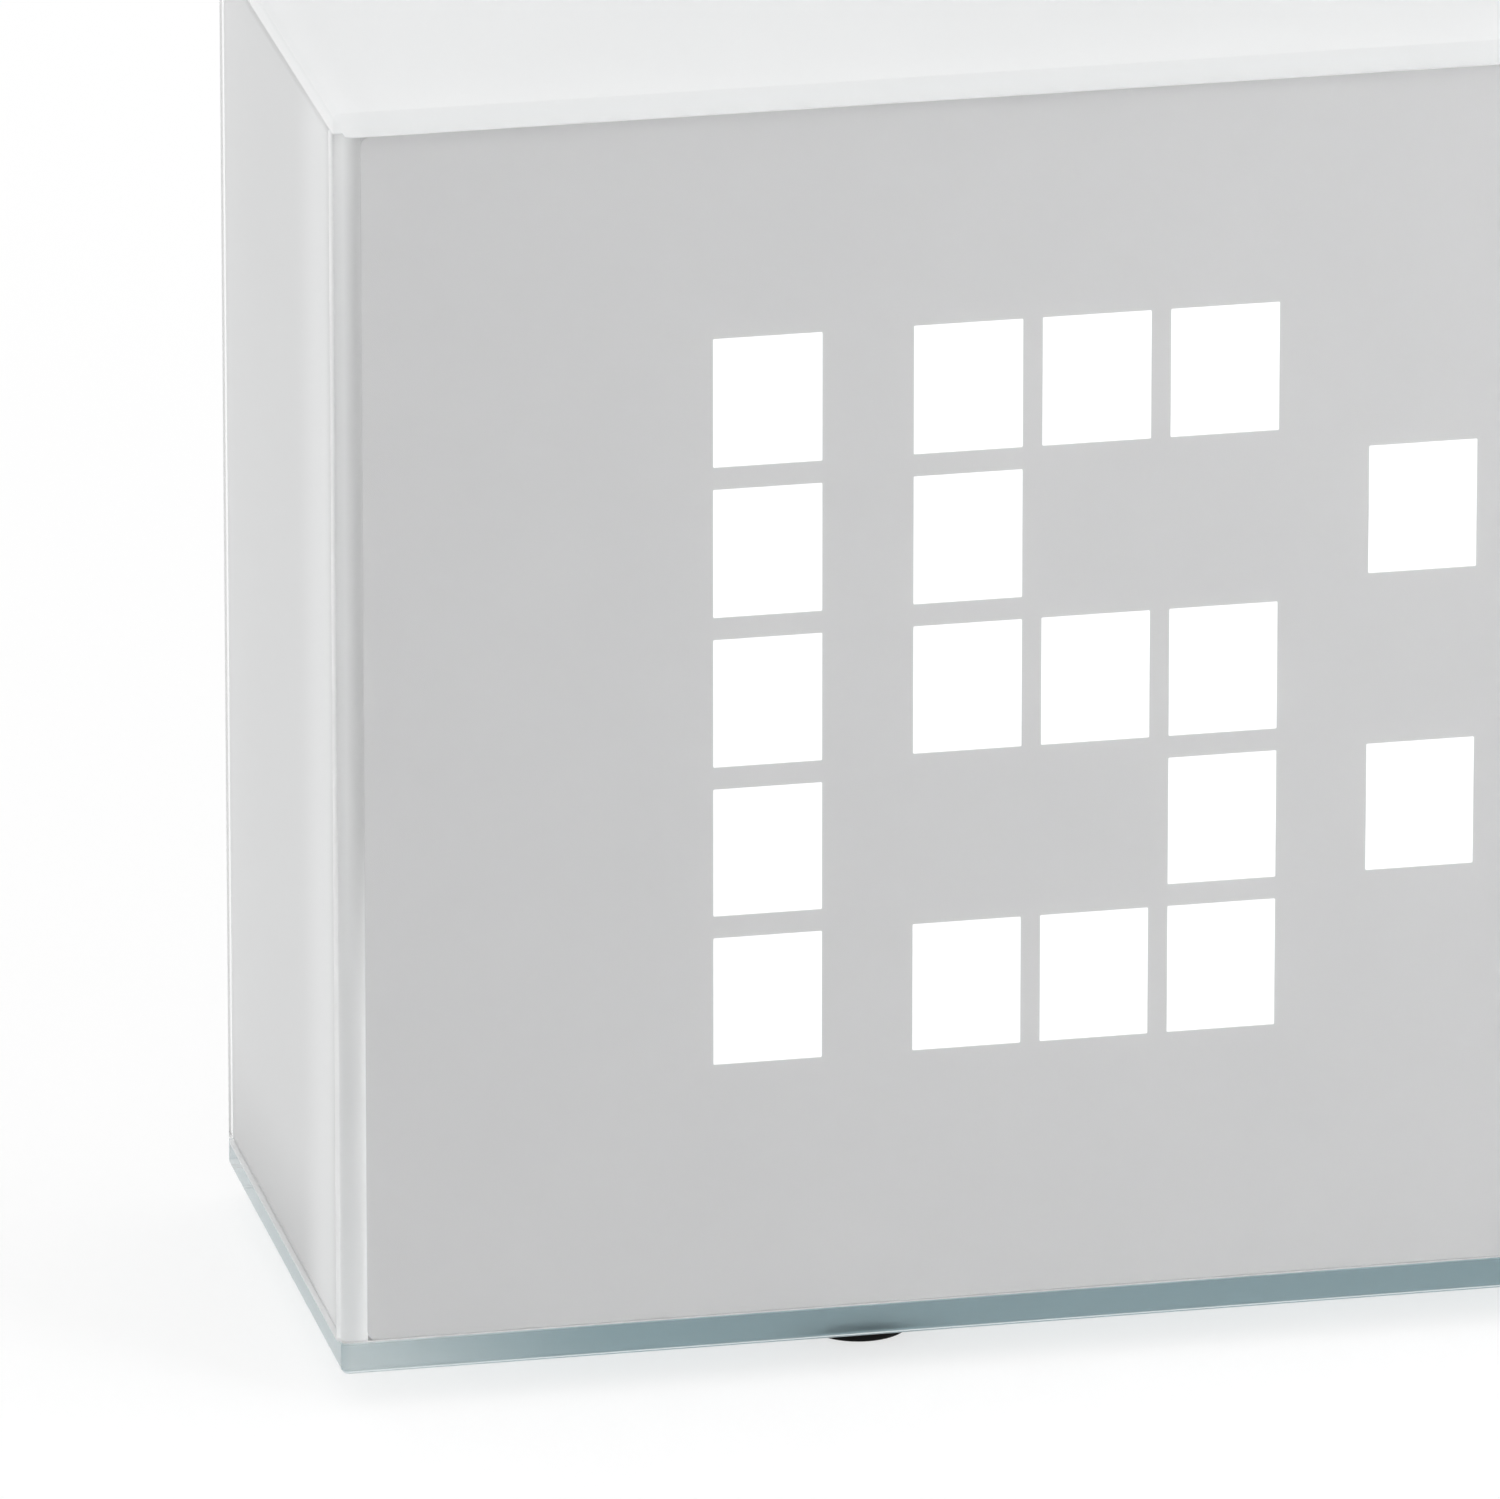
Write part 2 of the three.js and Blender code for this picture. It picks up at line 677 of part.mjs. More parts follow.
function alarmSlider() {
  const stemLength = sliderFlangeY - slideSwitchTop - seat;
  const capTop = sliderFlangeHeight + slip + coverThickness + sliderProud;
  const keep = [
    block(sliderFlangeLength, sliderFlangeHeight, sliderWidth + 2 * sliderFlange),
    block(sliderLength, capTop, sliderWidth),
    block(sliderWidth, stemLength + sliderFlangeHeight / 2, sliderWidth * sliderStemShare, 0, -stemLength),
  ];
  const pitch = sliderLength / (sliderGrooveCount + 1);
  const grooves = [];
  for (let n = 1; n <= sliderGrooveCount; n += 1) {
    grooves.push(block(pitch / 2, sliderProud, sliderWidth + overrun, -sliderLength / 2 + n * pitch,
      capTop - sliderProud / 2));
  }
  return shaped(keep, grooves);
}

place("slide_switch", slideSwitch(), blackPlastic, 0, mainBoardRear + seat, sliderZ);
place("alarm_slider", alarmSlider(), whitePlastic, sliderX, sliderFlangeY, sliderZ);

// The power jack: a square body with a round socket and its pin
const jackDepth = coverY - seat - (mainBoardRear + seat);

function powerJack() {
  const body = block(jackSize, jackDepth, jackSize);
  const bore = barY(jackBoreRadius, jackBoreDepth + overrun, 0, jackDepth - jackBoreDepth);
  const pin = barY(jackPinRadius, jackBoreDepth - jackPinRecess + overrun, 0,
    jackDepth - jackBoreDepth - overrun, 0, smallSteps);
  return geometryOf(solidOf(body).subtract(solidOf(bore)).add(solidOf(pin)));
}

place("power_jack", powerJack(), blackPlastic, 0, mainBoardRear + seat, jackZ);

// Loudspeaker: a steel basket, a paper cone and a magnet. Their y = 0 is the cover's inner face.
function speakerFrame() {
  const back = -speakerDepth;
  const outer = [
    [speakerBackHole, back],
    [magnetRadius + speakerBackRim, back],
    [speakerRadius - speakerRim, -speakerRimHeight],
    [speakerRadius, -speakerRimHeight],
    [speakerRadius, 0],
    [speakerRadius - speakerRim, 0],
    [speakerRadius - speakerRim - speakerWall, -speakerRimHeight],
    [magnetRadius + speakerBackRim - speakerWall, back + speakerWall],
    [speakerBackHole, back + speakerWall],
    [speakerBackHole, back],
  ];
  return turned(outer);
}

function speakerCone() {
  const edge = speakerRadius - speakerRim - speakerWall - slip;
  const edgeY = -speakerRimHeight / 2;
  const throatY = -speakerDepth + speakerWall + 2 * coneThickness;
  return turned([
    [0, throatY + domeHeight - coneThickness],
    [domeRadius, throatY - coneThickness],
    [edge - coneThickness, edgeY - coneThickness],
    [edge, edgeY - coneThickness],
    [edge, edgeY],
    [edge - coneThickness, edgeY],
    [domeRadius, throatY],
    [domeRadius / 2, throatY + domeHeight * domeShoulderShare],
    [0, throatY + domeHeight],
  ]);
}

const speakerY = coverY - seat;
place("speaker_frame", speakerFrame(), steel, speakerX, speakerY, speakerZ);
place("speaker_cone", speakerCone(), paperCone, speakerX, speakerY, speakerZ);
place("speaker_magnet", barY(magnetRadius, magnetHeight), steel, speakerX,
  speakerY - speakerDepth - seat - magnetHeight, speakerZ);

// The rear cover, with its grille, battery box, collars and posts on the inside. y = 0 is its inner face.
const coverWidth = faceWidth - 2 * fit;
const coverHeight = faceHeight - 2 * fit;
const batterySide = 2 * (cellRadius + batteryClearance);
const batteryDepth = contactThickness + contactRise + cellThickness + slip + doorRibHeight;
const doorSide = batterySide + 2 * doorLip;
const batteryBoxDepth = batteryDepth - (coverThickness - doorThickness) + batteryFloor;
const batteryFloorY = coverRear - doorThickness - batteryDepth;

function grilleSlots() {
  const slots = [];
  const rows = Math.floor((grilleRadius - grilleSlotWidth / 2) / grillePitch);
  for (let n = -rows; n <= rows; n += 1) {
    const z = n * grillePitch;
    const length = 2 * Math.sqrt(grilleRadius * grilleRadius - z * z) - grilleSlotWidth;
    slots.push(
      uprightPlate(roundedOutline(length, grilleSlotWidth, grilleSlotWidth), coverThickness + 2 * overrun, 3)
        .translate(speakerX, -overrun, speakerZ - caseMiddle + z),
    );
  }
  return slots;
}

function rearCover() {
  const through = coverThickness + 2 * overrun;
  const boxSide = batterySide + 2 * batteryWall;
  const keep = [
    uprightPlate(roundedOutline(coverWidth, coverHeight, cavityRadius), coverThickness),
    block(boxSide, batteryBoxDepth + overrun, boxSide, batteryX, -batteryBoxDepth, batteryZ - caseMiddle),
    barY(speakerRadius + slip + speakerCollarWall, speakerCollarHeight + overrun, speakerX,
      -speakerCollarHeight, speakerZ - caseMiddle),
  ];
  const collarHollow = barY(speakerRadius + slip, speakerCollarHeight + overrun, speakerX,
    -speakerCollarHeight - overrun, speakerZ - caseMiddle);
  const cut = [
    collarHollow,
    block(batterySide, batteryDepth + coverThickness, batterySide, batteryX,
      -batteryBoxDepth + batteryFloor, batteryZ - caseMiddle),
    block(doorSide + 2 * slip, doorThickness + overrun, doorSide + 2 * slip, batteryX,
      coverThickness - doorThickness, batteryZ - caseMiddle),
    barY(jackHoleRadius, through, 0, -overrun, jackZ - caseMiddle),
    block(sliderLength + sliderTravel + 2 * slip, through, sliderWidth + 2 * slip, 0, -overrun,
      sliderZ - caseMiddle),
    ...grilleSlots(),
  ];
  buttonNames.forEach((name, n) => {
    cut.push(barY(buttonRadius + slip, through, buttonX(n), -overrun, buttonZ - caseMiddle));
  });
  for (const [x, z] of mainScrews) {
    const postZ = mainBoardMiddle + z - caseMiddle;
    keep.push(barY(postRadius, mainBoardRearGap - seat + overrun, x, -mainBoardRearGap + seat, postZ,
      smallSteps));
    cut.push(barY(smallScrewRadius + threadFit, smallScrewLength + overrun, x,
      -mainBoardRearGap - overrun, postZ, smallSteps));
  }
  for (const side of [-1, 1]) {
    for (const level of [-1, 1]) {
      cut.push(barY(screwRadius + slip, through, side * bossAcross, -overrun, level * bossUp, smallSteps));
      cut.push(barY(screwHeadRadius + slip, screwHeadHeight + overrun, side * bossAcross,
        coverThickness - screwHeadHeight, level * bossUp, smallSteps));
    }
  }
  return shaped(keep, cut);
}

place("rear_cover", rearCover(), whitePlastic, 0, coverY, caseMiddle);

const coverScrew = screw(screwRadius, coverScrewLength, screwHeadRadius, screwHeadHeight - seat);
corners.forEach(([side, level], n) => {
  place(`cover_screw_${n + 1}`, coverScrew, steel, side * bossAcross, coverRear - screwHeadHeight + seat,
    caseMiddle + level * bossUp);
});

// Backup battery, its two contacts and the door over them
function coinCell() {
  return turned([
    [0, 0],
    [cellRadius - cellRimStep, 0],
    [cellRadius, cellRimStep],
    [cellRadius, cellThickness],
    [0, cellThickness],
  ]);
}

const cellY = batteryFloorY + contactThickness + contactRise + seat;
place("coin_cell", coinCell(), steel, batteryX, cellY, batteryZ);

// The lower contact: a strip on the floor with a tongue bent up from it
function floorContact() {
  const length = batterySide - 2 * slip;
  const tongue = length * contactTongueShare;
  return shaped([
    block(contactWidth, contactThickness, length),
    block(contactWidth / 2, contactThickness, tongue, 0, contactRise / 2),
  ]);
}

place("battery_contact_floor", floorContact(), brassy, batteryX, batteryFloorY + seat / 2, batteryZ);

// The upper contact: a spring strip that stands against the box's side wall
function sideContact() {
  const height = batteryDepth - doorRibHeight - slip;
  const strip = block(contactThickness, height, contactWidth);
  return shaped([strip]);
}

const sideContactX = batteryX - batterySide / 2 + contactThickness / 2 + seat / 2;
place("battery_contact_side", sideContact(), brassy, sideContactX, batteryFloorY + seat, batteryZ);

// The door: a plate in the cover's recess with a rib all round that fits the box's mouth, and a finger notch
function batteryDoor() {
  const ribSide = batterySide - 2 * slip;
  const plate = uprightPlate(roundedOutline(doorSide, doorSide, cavityRadius), doorThickness - seat)
    .translate(0, seat, 0);
  const rib = block(ribSide, doorRibHeight + doorThickness / 2, ribSide, 0, -doorRibHeight);
  const ribHollow = block(ribSide - 2 * doorRibWall, doorRibHeight + overrun, ribSide - 2 * doorRibWall, 0,
    -doorRibHeight - overrun + seat);
  const notch = barY(doorNotchRadius, doorThickness, 0, doorThickness / 2, doorSide / 2);
  return shaped([plate, rib], [ribHollow, notch]);
}

place("battery_door", batteryDoor(), whitePlastic, batteryX, coverRear - doorThickness, batteryZ);

// Snooze bar, its plunger, switch and board, carried on the housing's bridge
function snoozeBar() {
  const flange = levelPlate(
    roundedOutline(snoozeLength + 2 * snoozeFlange, snoozeWidth + 2 * snoozeFlange, snoozeWidth),
    snoozeFlangeHeight,
  );
  const capHeight = snoozeFlangeHeight + slip + housingWall + fit + shellWall + snoozeProud;
  const cap = new THREE.ExtrudeGeometry(
    roundedOutline(snoozeLength - 2 * snoozeCrown, snoozeWidth - 2 * snoozeCrown, snoozeWidth),
    {
      depth: capHeight - 2 * snoozeCrown,
      bevelEnabled: true,
      bevelThickness: snoozeCrown,
      bevelSize: snoozeCrown,
      bevelSegments: 2,
      curveSegments: arcSteps,
    },
  ).translate(0, 0, snoozeCrown);
  const stem = barZ(snoozeStemRadius, snoozeDrop + snoozeFlangeHeight / 2, 0, 0, -snoozeDrop);
  return shaped([flange, cap, stem]);
}

place("snooze_bar", snoozeBar(), whitePlastic, 0, snoozeY, snoozeFlangeTop - snoozeFlangeHeight);
place("snooze_plunger", plunger(), whitePlastic, 0, snoozeY, snoozeSwitchTop).rotation.x = Math.PI / 2;
place("snooze_switch", tactSwitch(), blackPlastic, 0, snoozeY, snoozeBoardTop + seat)
  .rotation.x = Math.PI / 2;
place("snooze_board", block(snoozeBoardLength, snoozeBoardWidth - 2 * seat, snoozeBoardThickness), boardGreen,
  0, snoozeY - snoozeBoardWidth / 2 + seat, snoozeBoardZ + snoozeBoardThickness / 2);

// Rubber feet, slightly tapered, in their seats
function foot() {
  const top = footHeight + footRecess - seat;
  return turned([
    [0, 0],
    [footRadius - footTaper, 0],
    [footRadius, footTaper],
    [footRadius, top],
    [0, top],
  ]).rotateX(Math.PI / 2);
}

footPlaces.forEach(([x, y], n) => place(`foot_${n + 1}`, foot(), rubber, x, y, 0));

export default clock;
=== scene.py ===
"""A digital alarm clock, dressed for the photograph: a clear acrylic shell, white inside, with a
silver-grey panel and large lit cells. Metres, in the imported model's own frame: X to the right, Y to the rear
and Z up."""

import json
import math

import bmesh
import bpy
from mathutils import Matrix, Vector


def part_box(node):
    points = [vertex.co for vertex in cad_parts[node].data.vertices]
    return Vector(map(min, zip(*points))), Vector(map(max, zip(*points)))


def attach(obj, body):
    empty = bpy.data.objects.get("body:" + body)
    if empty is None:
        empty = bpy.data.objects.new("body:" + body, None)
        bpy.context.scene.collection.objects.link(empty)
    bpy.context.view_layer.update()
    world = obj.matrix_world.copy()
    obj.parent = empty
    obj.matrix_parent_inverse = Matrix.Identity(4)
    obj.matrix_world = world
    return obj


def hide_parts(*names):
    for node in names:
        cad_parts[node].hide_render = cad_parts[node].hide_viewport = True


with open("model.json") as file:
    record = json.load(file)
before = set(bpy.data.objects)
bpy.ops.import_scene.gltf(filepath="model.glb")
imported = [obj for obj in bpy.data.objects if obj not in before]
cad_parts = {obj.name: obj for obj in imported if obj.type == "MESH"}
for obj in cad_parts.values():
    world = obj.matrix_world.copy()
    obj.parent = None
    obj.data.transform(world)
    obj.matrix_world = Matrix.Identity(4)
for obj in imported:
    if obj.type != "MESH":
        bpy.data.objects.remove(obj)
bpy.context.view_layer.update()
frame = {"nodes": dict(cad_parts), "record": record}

MM = 0.001

# The photograph's view, aimed at a point on the front that is measured from the case's lower left corner
AIM_FROM_LEFT = 25.2 * MM
AIM_UP = 38.39 * MM
CAMERA_DISTANCE = 1322.4 * MM
CAMERA_AZIMUTH = -11.91
CAMERA_ELEVATION = 19.38
LENS = 528.0
SENSOR = 36.0
CLIP_START = 0.1
CLIP_END = 100

# Case
WALL = 1.8 * MM
EDGE = 0.5 * MM
CAVITY_CORNER = 0.6 * MM
PAINT = 0.1 * MM
SUNK = 0.04 * MM
RIM_CHAMFER = 0.2 * MM
JOINT = 0.06 * MM
JOINT_MARGIN = 0.2 * MM
TOP_MARGIN = 0.7 * MM
TOP_RISE = 0.3 * MM
PANEL_DROP = 0.1 * MM
SLIP = 0.25 * MM
OVER = 1 * MM
HAIR = 0.02 * MM

# Display
CELL_WIDTH = 6.7 * MM
CELL_HEIGHT = 8.12 * MM
CELL_GAP_ACROSS = 1.2 * MM
CELL_GAP_UP = 1.4 * MM
CELL_CORNER = 0.08 * MM
DIGIT_COLUMNS = 3
CELL_ROWS = 5
DIGIT_GAP = 5.6 * MM
MARGIN_BOTTOM = 16.1 * MM
TILE = 0.06 * MM
FIGURES = {
    "1": ["  #", "  #", "  #", "  #", "  #"],
    "5": ["###", "#  ", "###", "  #", "###"],
    "3": ["###", "  #", "###", "  #", "###"],
    "0": ["###", "# #", "# #", "# #", "###"],
}
SHOWN = "1530"

# Feet
FEET = 4
FOOT_EDGE = 0.3 * MM

# Rear cover
COVER_THICKNESS = 2.2 * MM
COVER_CORNER = 0.6 * MM
COVER_EDGE = 0.3 * MM
HOLE_CHAMFER = 0.25 * MM
BUTTON_NAMES = ["time", "alarm", "hour", "minute", "dimmer"]
BUTTON_RADIUS = 3 * MM
BUTTON_FLANGE = 1 * MM
BUTTON_FLANGE_HEIGHT = 1.2 * MM
BUTTON_EDGE = 0.35 * MM
BUTTON_DISH = 0.2 * MM
STEM_RADIUS = 1.7 * MM
SLIDER_LENGTH = 5 * MM
SLIDER_WIDTH = 3.4 * MM
SLIDER_TRAVEL = 3 * MM
SLIDER_FLANGE_HEIGHT = 1 * MM
SLIDER_GROOVES = 3
SLIDER_EDGE = 0.25 * MM
SLIDER_STEM_SHARE = 0.8
GROOVE_SHARE = 1 / 3
GROOVE_CHAMFER_SHARE = 1 / 8
JACK_BORE = 3.2 * MM
JACK_BORE_DEPTH = 7 * MM
JACK_PIN = 1 * MM
JACK_PIN_RECESS = 1.4 * MM
JACK_HOLE = 4 * MM
COVER_SCREWS = 4
SCREW_RADIUS = 1.25 * MM
SCREW_TIP_SHARE = 0.3
SCREW_HEAD = 2.4 * MM
SCREW_HEAD_HEIGHT = 1.3 * MM
SCREW_RECESS = 1.4 * MM
SCREW_CROSS = 2.9 * MM
SCREW_CROSS_WIDTH = 0.6 * MM
SCREW_CROSS_DEPTH = 0.6 * MM
GRILLE_RADIUS = 11 * MM
GRILLE_SLOT = 1.4 * MM
GRILLE_PITCH = 3 * MM
COLLAR_HEIGHT = 3 * MM
COLLAR_WALL = 1.4 * MM
BATTERY_SIDE = 21 * MM
BATTERY_WALL = 1.4 * MM
BATTERY_FLOOR = 1.2 * MM
DOOR_THICKNESS = 1.2 * MM
DOOR_LIP = 1.6 * MM
DOOR_RIB_WALL = 1 * MM
DOOR_NOTCH = 3 * MM
DOOR_EDGE = 0.25 * MM
CLEAR = 0.1 * MM

# Snooze bar
SNOOZE_LENGTH = 44 * MM
SNOOZE_WIDTH = 9 * MM
SNOOZE_FLANGE = 1.4 * MM
SNOOZE_FLANGE_HEIGHT = 1.2 * MM
SNOOZE_STEM = 2.2 * MM
SNOOZE_DROP = 3 * MM
SNOOZE_EDGE = 0.4 * MM

# Smoothness
ROUND = 64
CORNER_STEPS = 8
SNOOZE_STEPS = 32
EDGE_STEPS = 6
SHARP_ANGLE = math.radians(35)
NORMAL_WEIGHT = 100
WELD = 0.0001 * MM

# Finishes: colour, roughness, the grain's size and height, and how much the colour varies
FINISHES = {
    "white_paint": dict(
        color=(0.7, 0.7, 0.7), roughness=0.5, grain=0.4 * MM, depth=0.004 * MM, variation=0.008,
    ),
    # Whiter than the walls' paint: painted light that lifts the band at the pane's foot out of its shade
    "lit_edge_paint": dict(
        color=(0.92, 0.92, 0.92), roughness=0.5, grain=0.4 * MM, depth=0.004 * MM, variation=0.01,
    ),
    # Whiter than the walls' paint: painted light from above on the top plate's sheet
    "top_lit_paint": dict(
        color=(0.865, 0.865, 0.865), roughness=0.5, grain=0.4 * MM, depth=0.004 * MM, variation=0.008,
    ),
    # Blue-grey: the acrylic's edge tint, darkened with painted shade of the shadowed underside
    "shaded_cement": dict(
        color=(0.42, 0.54, 0.57), roughness=0.5, grain=0.4 * MM, depth=0.004 * MM, variation=0.01,
    ),
    # Painted light and shade: whiter than the walls' paint at the outer edge, darker toward the panel
    "side_joint_paint": dict(
        color=(0.95, 0.95, 0.95), roughness=0.5, grain=0.4 * MM, depth=0.004 * MM, variation=0.01,
    ),
    "white_plastic": dict(
        color=(0.82, 0.825, 0.82), roughness=0.38, grain=0.3 * MM, depth=0.01 * MM, variation=0.015,
    ),
    "panel_grey": dict(
        color=(0.415, 0.415, 0.415), roughness=0.5, grain=0.15 * MM, depth=0.002 * MM, variation=0.01,
    ),
    "milky_sheet": dict(color=(0.9, 0.9, 0.89), roughness=0.6, grain=0.2 * MM, depth=0.004 * MM),
    "black_plastic": dict(
        color=(0.02, 0.02, 0.021), roughness=0.45, grain=0.25 * MM, depth=0.012 * MM, variation=0.1,
    ),
    "board_green": dict(
        color=(0.02, 0.13, 0.05), roughness=0.4, grain=0.6 * MM, depth=0.01 * MM, variation=0.2,
    ),
    "zinc_steel": dict(
        color=(0.62, 0.63, 0.64), roughness=0.32, grain=0.12 * MM, depth=0.004 * MM, metallic=1.0,
    ),
    "contact_brass": dict(
        color=(0.78, 0.6, 0.3), roughness=0.3, grain=0.15 * MM, depth=0.004 * MM, metallic=1.0,
    ),
    "rubber": dict(
        color=(0.006, 0.006, 0.006), roughness=0.8, grain=0.2 * MM, depth=0.02 * MM, variation=0.15,
        shine=0.15,
    ),
    "speaker_paper": dict(
        color=(0.03, 0.03, 0.032), roughness=0.85, grain=0.5 * MM, depth=0.05 * MM, variation=0.25,
    ),
    "flat_cable": dict(color=(0.75, 0.74, 0.7), roughness=0.5, grain=0.6 * MM, depth=0.01 * MM),
    "floor_white": dict(
        color=(0.85, 0.85, 0.85), roughness=0.8, grain=2 * MM, depth=0.01 * MM, variation=0.002,
    ),
}
PLAIN_VARIATION = 0.03
GLOSS_VARIATION = 0.05
PLAIN_SHINE = 0.5
CLOUD_SCALE = 60
CLOUD_DETAIL = 3
GRAIN_DETAIL = 2

# Painted light and shade in the paint on the inner walls: painted shade darker at the foot, by the table, a
# painted gleam lighter near the front, and painted shade darker at the front edge
FOOT_SHADE_HEIGHT = 10 * MM
FOOT_SHADE = (0.48, 0.48, 0.48)
GLEAM_START = 13 * MM
GLEAM_END = 5 * MM
PAINTED_GLEAM = (0.84, 0.84, 0.84)
EDGE_SHADE_DEPTH = 3.5 * MM
EDGE_SHADE = (0.62, 0.62, 0.62)

# Painted light and shade in the joints: the cement has painted light at its ends, by the case's corners, and
# the side joints have painted shade, darker at the panel, in their upper part, with an even tone below
CEMENT_FADE = 20 * MM
CEMENT_LIT_END = (0.7, 0.745, 0.75)
JOINT_LIT = (0.95, 0.95, 0.95)
JOINT_SHADE = (0.52, 0.52, 0.52)
JOINT_EVEN = (0.85, 0.85, 0.85)
JOINT_LIT_SHARE = 1 / 3
EVEN_BELOW = 20 * MM
UNEVEN_ABOVE = 38 * MM

# Acrylic
ACRYLIC_IOR = 1.49
ACRYLIC_TINT = (0.4, 0.8, 0.9)
ACRYLIC_DENSITY = 3.5
HAZE_SCALE = 90
HAZE_ROUGHNESS = 0.03

# The cells' light
CELL_GREY = 0.5
CELL_ROUGHNESS = 0.6
CELL_CLOUD_SCALE = 300
CELL_LIGHT_LOW = 0.42
CELL_LIGHT_HIGH = 0.46

# Stage
WORLD_LIGHT = 0.9
FLOOR_SIDE = 12
FLOOR_CORNER = 0.5
FLOOR_THICKNESS = 0.02
FLOOR_GLOW = 1.12
FLOOR_GLOW_SHARE = 0.6
LAMPS = {
    "front_lamp": dict(place=(0.22, -0.3, 0.12), aim=(0, 0, 0.04), size=0.15, power=0.72),
    "top_lamp": dict(place=(0.04, 0.02, 0.48), aim=(0.04, 0.02, 0), size=0.25, power=0.12),
}
MAX_BOUNCES = 16
DIFFUSE_BOUNCES = 6
GLOSSY_BOUNCES = 6
TRANSMISSION_BOUNCES = 12

shell_low, shell_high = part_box("clear_shell")
case_middle = (shell_low + shell_high) / 2
upright_centre = (case_middle.x, case_middle.z)
cavity_width = shell_high.x - shell_low.x - 2 * WALL
cavity_height = shell_high.z - shell_low.z - 2 * WALL
pane_back = shell_low.y + WALL


# Shapes

def outline(width, height, radius, steps=CORNER_STEPS):
    """Points round a rectangle with round corners, about (0, 0)."""
    radius = min(radius, width / 2, height / 2)
    points = []
    for quarter, (side, level) in enumerate([(1, 1), (-1, 1), (-1, -1), (1, -1)]):
        for step in range(steps + 1):
            angle = (quarter + step / steps) * math.pi / 2
            points.append((
                side * (width / 2 - radius) + radius * math.cos(angle),
                level * (height / 2 - radius) + radius * math.sin(angle),
            ))
    return points


def circle(radius, steps=ROUND):
    turns = [2 * math.pi * step / steps for step in range(steps)]
    return [(radius * math.cos(turn), radius * math.sin(turn)) for turn in turns]


def set_out(point, along, centre, axis):
    """A ring's point in space, with the ring's centre given square to the axis."""
    if axis == "Y":
        return Vector((centre[0] + point[0], along, centre[1] + point[1]))
    return Vector((centre[0] + point[0], centre[1] + point[1], along))


def loft(name, rings, centre, axis="Y"):
    """A closed body through rings of equally many points, each paired with its place along the axis."""
    mesh = bpy.data.meshes.new(name)
    body = bmesh.new()
    rows = [
        [body.verts.new(set_out(point, along, centre, axis)) for point in points]
        for points, along in rings
    ]
    for lower, upper in zip(rows, rows[1:]):
        for n in range(len(lower)):
            after = (n + 1) % len(lower)
            body.faces.new([lower[n], lower[after], upper[after], upper[n]])
    body.faces.new(rows[0])
    body.faces.new(rows[-1])
    bmesh.ops.remove_doubles(body, verts=body.verts, dist=WELD)
    bmesh.ops.recalc_face_normals(body, faces=body.faces)
    body.to_mesh(mesh)
    body.free()
    piece = bpy.data.objects.new(name, mesh)
    bpy.context.scene.collection.objects.link(piece)
    return piece


def quarter_turn(radius, steps=EDGE_STEPS):
    """Pairs of inset and rise round a quarter circle, from the flat face out to the side."""
    turns = [step / steps * math.pi / 2 for step in range(steps + 1)]
    return [(radius * (1 - math.sin(turn)), radius * (1 - math.cos(turn))) for turn in turns]


def edge_rings(shape, low, high, low_edge, high_edge):
    """Rings of shape(inset) from low to high, rounded by an edge radius at each end."""
    if low_edge:
        rings = [(shape(inset), low + rise) for inset, rise in quarter_turn(low_edge)]
    else:
        rings = [(shape(0), low)]
    if high_edge:
        rings += [(shape(inset), high - rise) for inset, rise in reversed(quarter_turn(high_edge))]
    else:
        rings.append((shape(0), high))
    return rings


def slab(name, width, height, corner, low, high, centre, axis="Y", low_edge=0, high_edge=0):
    """A plate with round corners and round edges."""
    def shape(inset):
        return outline(width - 2 * inset, height - 2 * inset, corner - inset)
    return loft(name, edge_rings(shape, low, high, low_edge, high_edge), centre, axis)


def turned(name, profile, centre, axis="Y"):
    """A round body from pairs of radius and place along the axis."""
    return loft(name, [(circle(radius), along) for radius, along in profile], centre, axis)


def opening(name, shape, low, face, centre, chamfer=HOLE_CHAMFER, axis="Y"):
    """A tool that cuts a hole of shape(spread) from low out through a face, with a chamfer round its rim."""
    rings = [
        (shape(0), low),
        (shape(0), face - chamfer),
        (shape(chamfer), face),
        (shape(chamfer), face + OVER),
    ]
    return loft(name, rings, centre, axis)


def settle(piece):
    """Takes the shape that a piece's modifiers give it as its own."""
    bpy.context.view_layer.update()
    seen = piece.evaluated_get(bpy.context.evaluated_depsgraph_get())
    mesh = bpy.data.meshes.new_from_object(seen)
    piece.modifiers.clear()
    piece.data = mesh


def combine(piece, others, operation):
    for other in others:
        change = piece.modifiers.new("combine", "BOOLEAN")
        change.operation = operation
        change.solver = "EXACT"
        change.object = other
    settle(piece)
    for other in others:
        bpy.data.objects.remove(other)


def cut(piece, *tools):
    combine(piece, tools, "DIFFERENCE")


def fuse(piece, *others):
    combine(piece, others, "UNION")


def dress(piece, material, slot, body, *nodes):
    """Finishes a piece: smooth round faces, its look, its body and the CAD nodes that it stands for. The
    record's slot, given as slot, is not used."""
    piece.data.materials.clear()
    piece.data.materials.append(material)
    piece.data.shade_smooth()
    piece.data.set_sharp_from_angle(angle=SHARP_ANGLE)
    weigh = piece.modifiers.new("weighted normals", "WEIGHTED_NORMAL")
    weigh.keep_sharp = True
    weigh.weight = NORMAL_WEIGHT
    if nodes:
        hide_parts(*nodes)
    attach(piece, body)


def middle(node):
    low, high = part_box(node)
    return (low + high) / 2


# Materials

